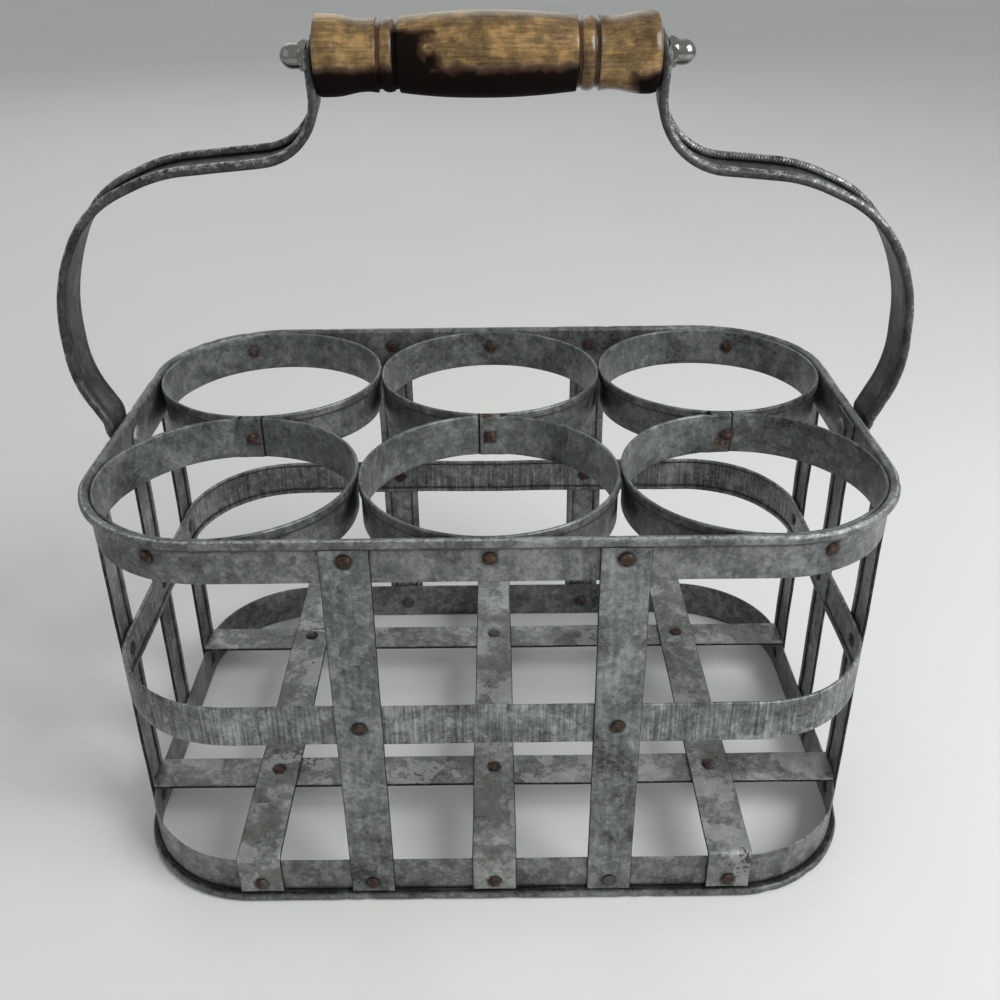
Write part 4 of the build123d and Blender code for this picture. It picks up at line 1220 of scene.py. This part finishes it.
def arm_line(side):
    """The inner face of a handle strap from its foot to its top: distance, x outwards, z and heading."""
    way = sides[side]
    foot = abs(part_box(f"pivot_spacer_{side}")[1 if way > 0 else 0].x) + foot_gap
    end = abs(grip_box[1 if way > 0 else 0].x) + end_gap
    low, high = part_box(f"handle_strap_{side}")
    reach, height = foot - end, grip_z - pivot_z
    corners = [(end + out * reach, pivot_z + up * height) for out, up, bend in arm_shares[side]]
    points = [(foot, pivot_z + ridge_start)] + corners + [(end, grip_z - ridge_end)]
    lengths = [hypot(b[0] - a[0], b[1] - a[1]) for a, b in zip(points, points[1:])]
    parts = [np.array(line((foot, low.z), points[0], wall_step))]
    for index in range(1, len(points) - 1):
        before, corner, after = (np.array(points[index + step]) for step in (-1, 0, 1))
        trim = arm_shares[side][index - 1][2] * min(lengths[index - 1], lengths[index])
        to_before = (before - corner) / lengths[index - 1]
        to_after = (after - corner) / lengths[index]
        weight = sin(acos(np.clip(np.dot(to_before, to_after), -1, 1)) / 2)
        first, last = corner + to_before * trim, corner + to_after * trim
        parts.append(line(parts[-1][-1], first, 2 * MM)[1:])
        for share in np.arange(1, 15) / 14:
            a, b, c = (1 - share) ** 2, 2 * share * (1 - share) * weight, share ** 2
            parts.append(((first * a + corner * b + last * c) / (a + b + c))[None])
    parts.append(line(parts[-1][-1], points[-1], 1.5 * MM)[1:])
    parts.append(line(points[-1], (end, high.z), wall_step)[1:])
    path = joined(*parts, apart=0.05 * MM)
    along = np.gradient(path, axis=0)
    return list(zip(distances(path), path[:, 0], path[:, 1], np.arctan2(along[:, 1], along[:, 0])))


class CARRIER_OT_handle(bpy.types.Operator):
    """Make the two curved handle straps with their rolled ridges and tool marks"""
    bl_idname = "carrier.handle"
    bl_label = "Handle straps"

    def execute(self, context):
        sizes = context.scene.carrier_sizes
        thick, radius = sizes.arm_sheet, sizes.arm_ridge / 2
        edge = handle_half_width - radius
        rolled = radius - thick / 2
        outline = sheet_outline(joined(
            arc((radius, -edge), rolled, 180 + 290, -290, 24),
            line((thick / 2, -edge), (thick / 2, edge), 1.7 * MM),
            arc((radius, edge), rolled, 180, -290, 24),
        ), thick * 0.96)
        flat_outline = np.clip(outline, (0, -edge), (thick, edge))
        crest = np.hypot(outline[:, 0] - radius, np.abs(outline[:, 1]) - edge) > radius * 0.9
        lift = np.clip((outline[:, 0] - thick) / (2 * radius - thick), 0, 1)
        # Wear with a painted highlight along the ridges' crests, brighter the further out they stand
        wear = np.where(crest & (lift > 0.35), 0.45 + 0.5 * lift, 0.08)
        # Painted shade on the inside, where each ridge rises from the web
        painted_shade = 0.8 * bell(np.abs(outline[:, 1]) - (edge - radius), 0.8 * MM) * (outline[:, 0] < radius)
        # The inner flank of the back ridge, where the tool marks sit
        flank = radius - radius * 0.98 * cos(crimp_flank), edge + radius * 0.98 * sin(crimp_flank)
        crimps, edges = [], []
        for side, way in sides.items():
            stations = arm_line(side)
            total = stations[-1][0]
            first = len(crimps)

            def place(at, x, z, turn):
                opened = ease((at - edge) / (9 * MM)) * ease((total - at - 3.2 * MM) / (4.5 * MM))
                local = outline * opened + flat_outline * (1 - opened)
                from_end = min(at, total - at)
                round_off = sqrt(max(0, edge ** 2 - max(0, edge - from_end) ** 2)) / edge
                across = local[:, 1] * max(round_off, 0.02)
                out_x, out_z = sin(turn), -cos(turn)
                lean = arm_lean * ease((at / total - lean_from) / 0.2) * ease((1 - at / total) / 0.2)
                bow = wander(at, 0.12 * MM, 58 * MM, 500 + way) * opened
                push = local[:, 0] + across * lean - 0.15 * MM * opened + bow
                if crimp_from < at / total < crimp_to:
                    reach = flank[0] + flank[1] * lean
                    crimps.append(((way * (x + out_x * reach), flank[1], z + out_z * reach),
                                   (way * out_x * 0.75, -0.66, out_z * 0.75)))
                return way * (x + out_x * push), across, z + out_z * push
            piece = Piece().add(*swept(stations, outline, place), wear, painted_shade)
            edges += [(number, number + 1) for number in range(first, len(crimps) - 1)]
            piece.build(f"handle_strap_{side}", "sheet", "handle", "handle_steel", sharp=42)
        points, facing = zip(*crimps)
        mesh = bpy.data.meshes.new("crimp_lines")
        mesh.from_pydata(points, edges, [])
        set_attribute(mesh, "facing", facing)
        finish = material("handle_steel")
        marks = applied("handle_crimps", mesh, crimp_tree(finish), {"Spacing": sizes.crimp_spacing})
        finish_piece(marks, "handle_crimps", "handle", finish, (), 60)
        return {"FINISHED"}


def crimp_tree(finish):
    """Node group that sets a short raised tool mark at even steps along each line."""
    values = {"Spacing": 1.2 * MM, "Width": 0.62 * MM, "Length": 2.6 * MM, "Rise": 0.42 * MM}
    tree, given = new_group("Crimp marks", values, 8)
    curve = node(tree, "GeometryNodeMeshToCurve", {0: given["Geometry"]})
    curve = node(tree, "GeometryNodeResampleCurve", {"Curve": curve, "Length": given["Spacing"]},
                 mode="LENGTH")
    facing = node(tree, "GeometryNodeInputNamedAttribute", {"Name": "facing"}, data_type="FLOAT_VECTOR")
    tangent = node(tree, "GeometryNodeInputTangent")
    turned = node(tree, "FunctionNodeAlignRotationToVector", {"Vector": facing}, axis="Z")
    turned = node(tree, "FunctionNodeAlignRotationToVector", {"Rotation": turned, "Vector": tangent},
                  axis="X", pivot_axis="Z")
    welt = node(tree, "GeometryNodeMeshUVSphere", {"Segments": 8, "Rings": 6, "Radius": 0.5})
    size = node(tree, "ShaderNodeCombineXYZ", {0: given["Width"], 1: given["Length"], 2: given["Rise"]})
    marks = placed(tree, curve, welt, turned, size, (0.7, 0.6, 0.5), (1.2, 1.1, 1.1), given["Seed"], finish)
    node(tree, "NodeGroupOutput", {0: marks})
    return tree


# Nuts, washers and grip

washer_bore, washer_rim = 3 * MM, 0.5 * MM
nut_flat, nut_dome, nut_hexagon = 5.0 * MM, 4.7 * MM, 3.2 * MM


class CARRIER_OT_fittings(bpy.types.Operator):
    """Make the domed washers and acorn nuts at the ends of the grip's rod"""
    bl_idname = "carrier.fittings"
    bl_label = "Nuts and washers"

    def execute(self, context):
        for side, way in sides.items():
            start, span, radius = span_of(f"grip_washer_{side}", way)
            profile = [(0, washer_bore), (0, radius), (washer_rim, radius)]
            profile += [(washer_rim + (span - washer_rim) * sin(a), radius * cos(a) ** 0.5)
                        for a in np.linspace(0.2, 1.25, 9)]
            profile += [(span, washer_bore), (0, washer_bore)]
            washer = turned_part(rounded(profile, 0.15 * MM, 2), start, way, grip_z, 56, caps=False)
            washer.build(f"grip_washer_{side}", "turned", "handle", "bright_steel", sharp=40)
            self.nut(side, way)
        dress("handle_rod", "bright_steel")
        return {"FINISHED"}

    def nut(self, side, way):
        """Build an acorn nut: a hexagon with bevelled corners under a dome."""
        start, span, _ = span_of(f"acorn_nut_{side}", way)
        heights = np.concatenate([np.linspace(0, nut_hexagon, 14),
                                  np.linspace(nut_hexagon, span - nut_dome, 5)[1:],
                                  span - nut_dome + nut_dome * np.sin(np.linspace(0, pi / 2, 18))[1:]])

        def cut(along, solid, angles):
            if not solid:
                return 1e-6
            if along <= nut_hexagon - 0.02 * MM:
                from_flat = (angles + pi / 6) % (pi / 3) - pi / 6
                cone = nut_flat + 1.35 * MM * (nut_hexagon - along) / nut_hexagon + 0.1 * MM
                low_cone = nut_flat + 0.35 * MM + 1.6 * along
                return np.minimum(np.minimum(nut_flat / np.cos(from_flat), cone), low_cone)
            if along <= nut_hexagon:
                return nut_dome * 1.01
            return max(1e-6, sqrt(max(0, nut_dome ** 2 - max(0, along - span + nut_dome) ** 2)))
        profile = [(0, 0)] + [(along, 1) for along in heights]
        nut = turned_part(profile, start, way, grip_z, 144, ripple=cut)
        nut.build(f"acorn_nut_{side}", "cut", "handle", "bright_steel", sharp=30)


def grip_profile(end_round):
    """Half of the grip's outline from its middle to an end that is rounded off by so much, and its groove."""
    half, full = grip_half, grip_radius
    barrel_end, barrel_edge, groove = 0.516 * half, 0.871 * full, 0.785 * full
    sag = full - barrel_edge
    sphere = (barrel_end ** 2 + sag ** 2) / (2 * sag)
    barrel = [(x, full - sphere + sqrt(sphere ** 2 - x ** 2)) for x in np.linspace(0, barrel_end, 26)]
    bead = [(half * (0.538 + 0.081 * share), groove + (0.86 * full - groove) * sin(pi * share) ** 0.6)
            for share in np.linspace(0, 1, 11)]
    flare = [(half * (0.644 + 0.281 * share),
              full * (0.865 - 0.055 * sin(pi * min(1, share * 1.25)) * (1 - share)
                      + 0.083 * ease(share) ** 1.6))
             for share in np.linspace(0, 1, 22)]
    points = barrel + [(barrel_end, groove)] + bead + [(0.644 * half, groove)] + flare
    points += [(half - 2.0 * end_round, 0.948 * full), (half - 0.7 * end_round, 0.915 * full),
               (half, 0.948 * full - 2.2 * end_round), (half, 0.5 * full), (half, 3.1 * MM)]
    return rounded(points, 0.35 * MM, 3), groove


class CARRIER_OT_grip(bpy.types.Operator):
    """Make the turned wooden grip"""
    bl_idname = "carrier.grip"
    bl_label = "Wooden grip"

    def execute(self, context):
        left, groove = grip_profile(0.6 * MM)
        right, groove = grip_profile(1.5 * MM)
        whole = np.vstack([left[::-1] * [-1, 1], right[1:]])
        away = np.abs(whole[:, 0]) / grip_half
        # Painted shade along the bottom of the grooves on both sides of the bead
        painted_shade = 0.9 * bell(whole[:, 1] - groove, 0.22 * MM) * (away < 0.66) * (away > 0.5)

        def worn(along, radius, angles):
            dents = 0.05 * np.sin(angles * 2 + along / (9 * MM))
            dents = dents + 0.03 * np.sin(angles * 5 - along / (5 * MM))
            return np.maximum(radius + (dents - 0.09) * MM, 1e-6)
        grip = turned_part(whole, grip_centre, 1, grip_z, 120, painted_shade=painted_shade, ripple=worn)
        grip.build("wood_grip", "turned", "grip", "turned_wood", sharp=50)
        return {"FINISHED"}


# Stage

focal_pixels, picture_pixels = 1086.05, 1000
camera_place = Vector((3.7134, -437.2291, 382.6837)) * MM
camera_pitch, camera_yaw, camera_roll = radians(29.18746), radians(0.05439), radians(0.59192)


def area_light(name, place, target, size, power, tint):
    """A square soft light that faces a point."""
    lamp = bpy.data.lights.new(name, "AREA")
    lamp.size = size
    lamp.energy = power
    lamp.color = tint
    made = bpy.data.objects.new(name, lamp)
    bpy.context.scene.collection.objects.link(made)
    made.location = place
    made.rotation_euler = (Vector(target) - Vector(place)).to_track_quat("-Z", "Y").to_euler()


class CARRIER_OT_stage(bpy.types.Operator):
    """Make the floor, the lights, the world and the camera"""
    bl_idname = "carrier.stage"
    bl_label = "Stage"

    def execute(self, context):
        scene = context.scene
        bpy.ops.mesh.primitive_plane_add(size=60)
        floor = context.object
        floor.name = "floor"
        floor.data.materials.append(material("floor"))

        area_light("key", (0.95, -0.55, 0.95), (0, 0, 0.12), 0.8, 18, (1.0, 1.0, 0.99))
        area_light("fill", (-1.5, -0.9, 1.1), (0, 0, 0.12), 1.8, 3, (0.97, 0.98, 1.0))
        area_light("back", (-0.4, 1.6, 1.5), (0, 0, 0.15), 1.6, 7, (0.98, 1.0, 1.0))

        world = bpy.data.worlds.new("Soft studio")
        scene.world = world
        world.use_nodes = True
        background = world.node_tree.nodes["Background"]
        background.inputs["Color"].default_value = (0.92, 0.96, 0.95, 1)
        background.inputs["Strength"].default_value = 0.49

        data = bpy.data.cameras.new("camera")
        data.sensor_width = 36.0
        data.lens = focal_pixels * data.sensor_width / picture_pixels
        camera = bpy.data.objects.new("camera", data)
        scene.collection.objects.link(camera)
        flat_ahead = Vector((sin(camera_yaw), cos(camera_yaw), 0))
        ahead = flat_ahead * cos(camera_pitch) - Vector((0, 0, sin(camera_pitch)))
        right = Vector((cos(camera_yaw), -sin(camera_yaw), 0))
        down = ahead.cross(right)
        across = right * cos(camera_roll) + down * sin(camera_roll)
        below = down * cos(camera_roll) - right * sin(camera_roll)
        turned = Matrix((across, -below, -ahead)).transposed().to_4x4()
        camera.matrix_world = Matrix.Translation(camera_place) @ turned
        scene.camera = camera
        scene.view_settings.view_transform = "Standard"
        return {"FINISHED"}


# Add-on

operators = [CARRIER_OT_bands, CARRIER_OT_rings, CARRIER_OT_straps, CARRIER_OT_floor, CARRIER_OT_rivets,
             CARRIER_OT_pivots, CARRIER_OT_handle, CARRIER_OT_fittings, CARRIER_OT_grip, CARRIER_OT_stage]


class CARRIER_PT_panel(bpy.types.Panel):
    """Lists the carrier's pieces, sizes and colours"""
    bl_idname = "CARRIER_PT_panel"
    bl_label = "Bottle carrier"
    bl_space_type = "VIEW_3D"
    bl_region_type = "UI"
    bl_category = "Carrier"

    def draw(self, context):
        for operator in operators:
            self.layout.operator(operator.bl_idname)
        for group in (context.scene.carrier_sizes, context.scene.carrier_colours):
            box = self.layout.box()
            for name in group.__annotations__:
                box.prop(group, name)


def register():
    for made in [CarrierSizes, CarrierColours, *operators, CARRIER_PT_panel]:
        bpy.utils.register_class(made)
    bpy.types.Scene.carrier_sizes = PointerProperty(type=CarrierSizes)
    bpy.types.Scene.carrier_colours = PointerProperty(type=CarrierColours)


def unregister():
    del bpy.types.Scene.carrier_colours
    del bpy.types.Scene.carrier_sizes
    for made in [CARRIER_PT_panel, *reversed(operators), CarrierColours, CarrierSizes]:
        bpy.utils.unregister_class(made)


def main():
    register()
    for operator in operators:
        group, name = operator.bl_idname.split(".")
        getattr(getattr(bpy.ops, group), name)()


if __name__ == "__main__":
    main()
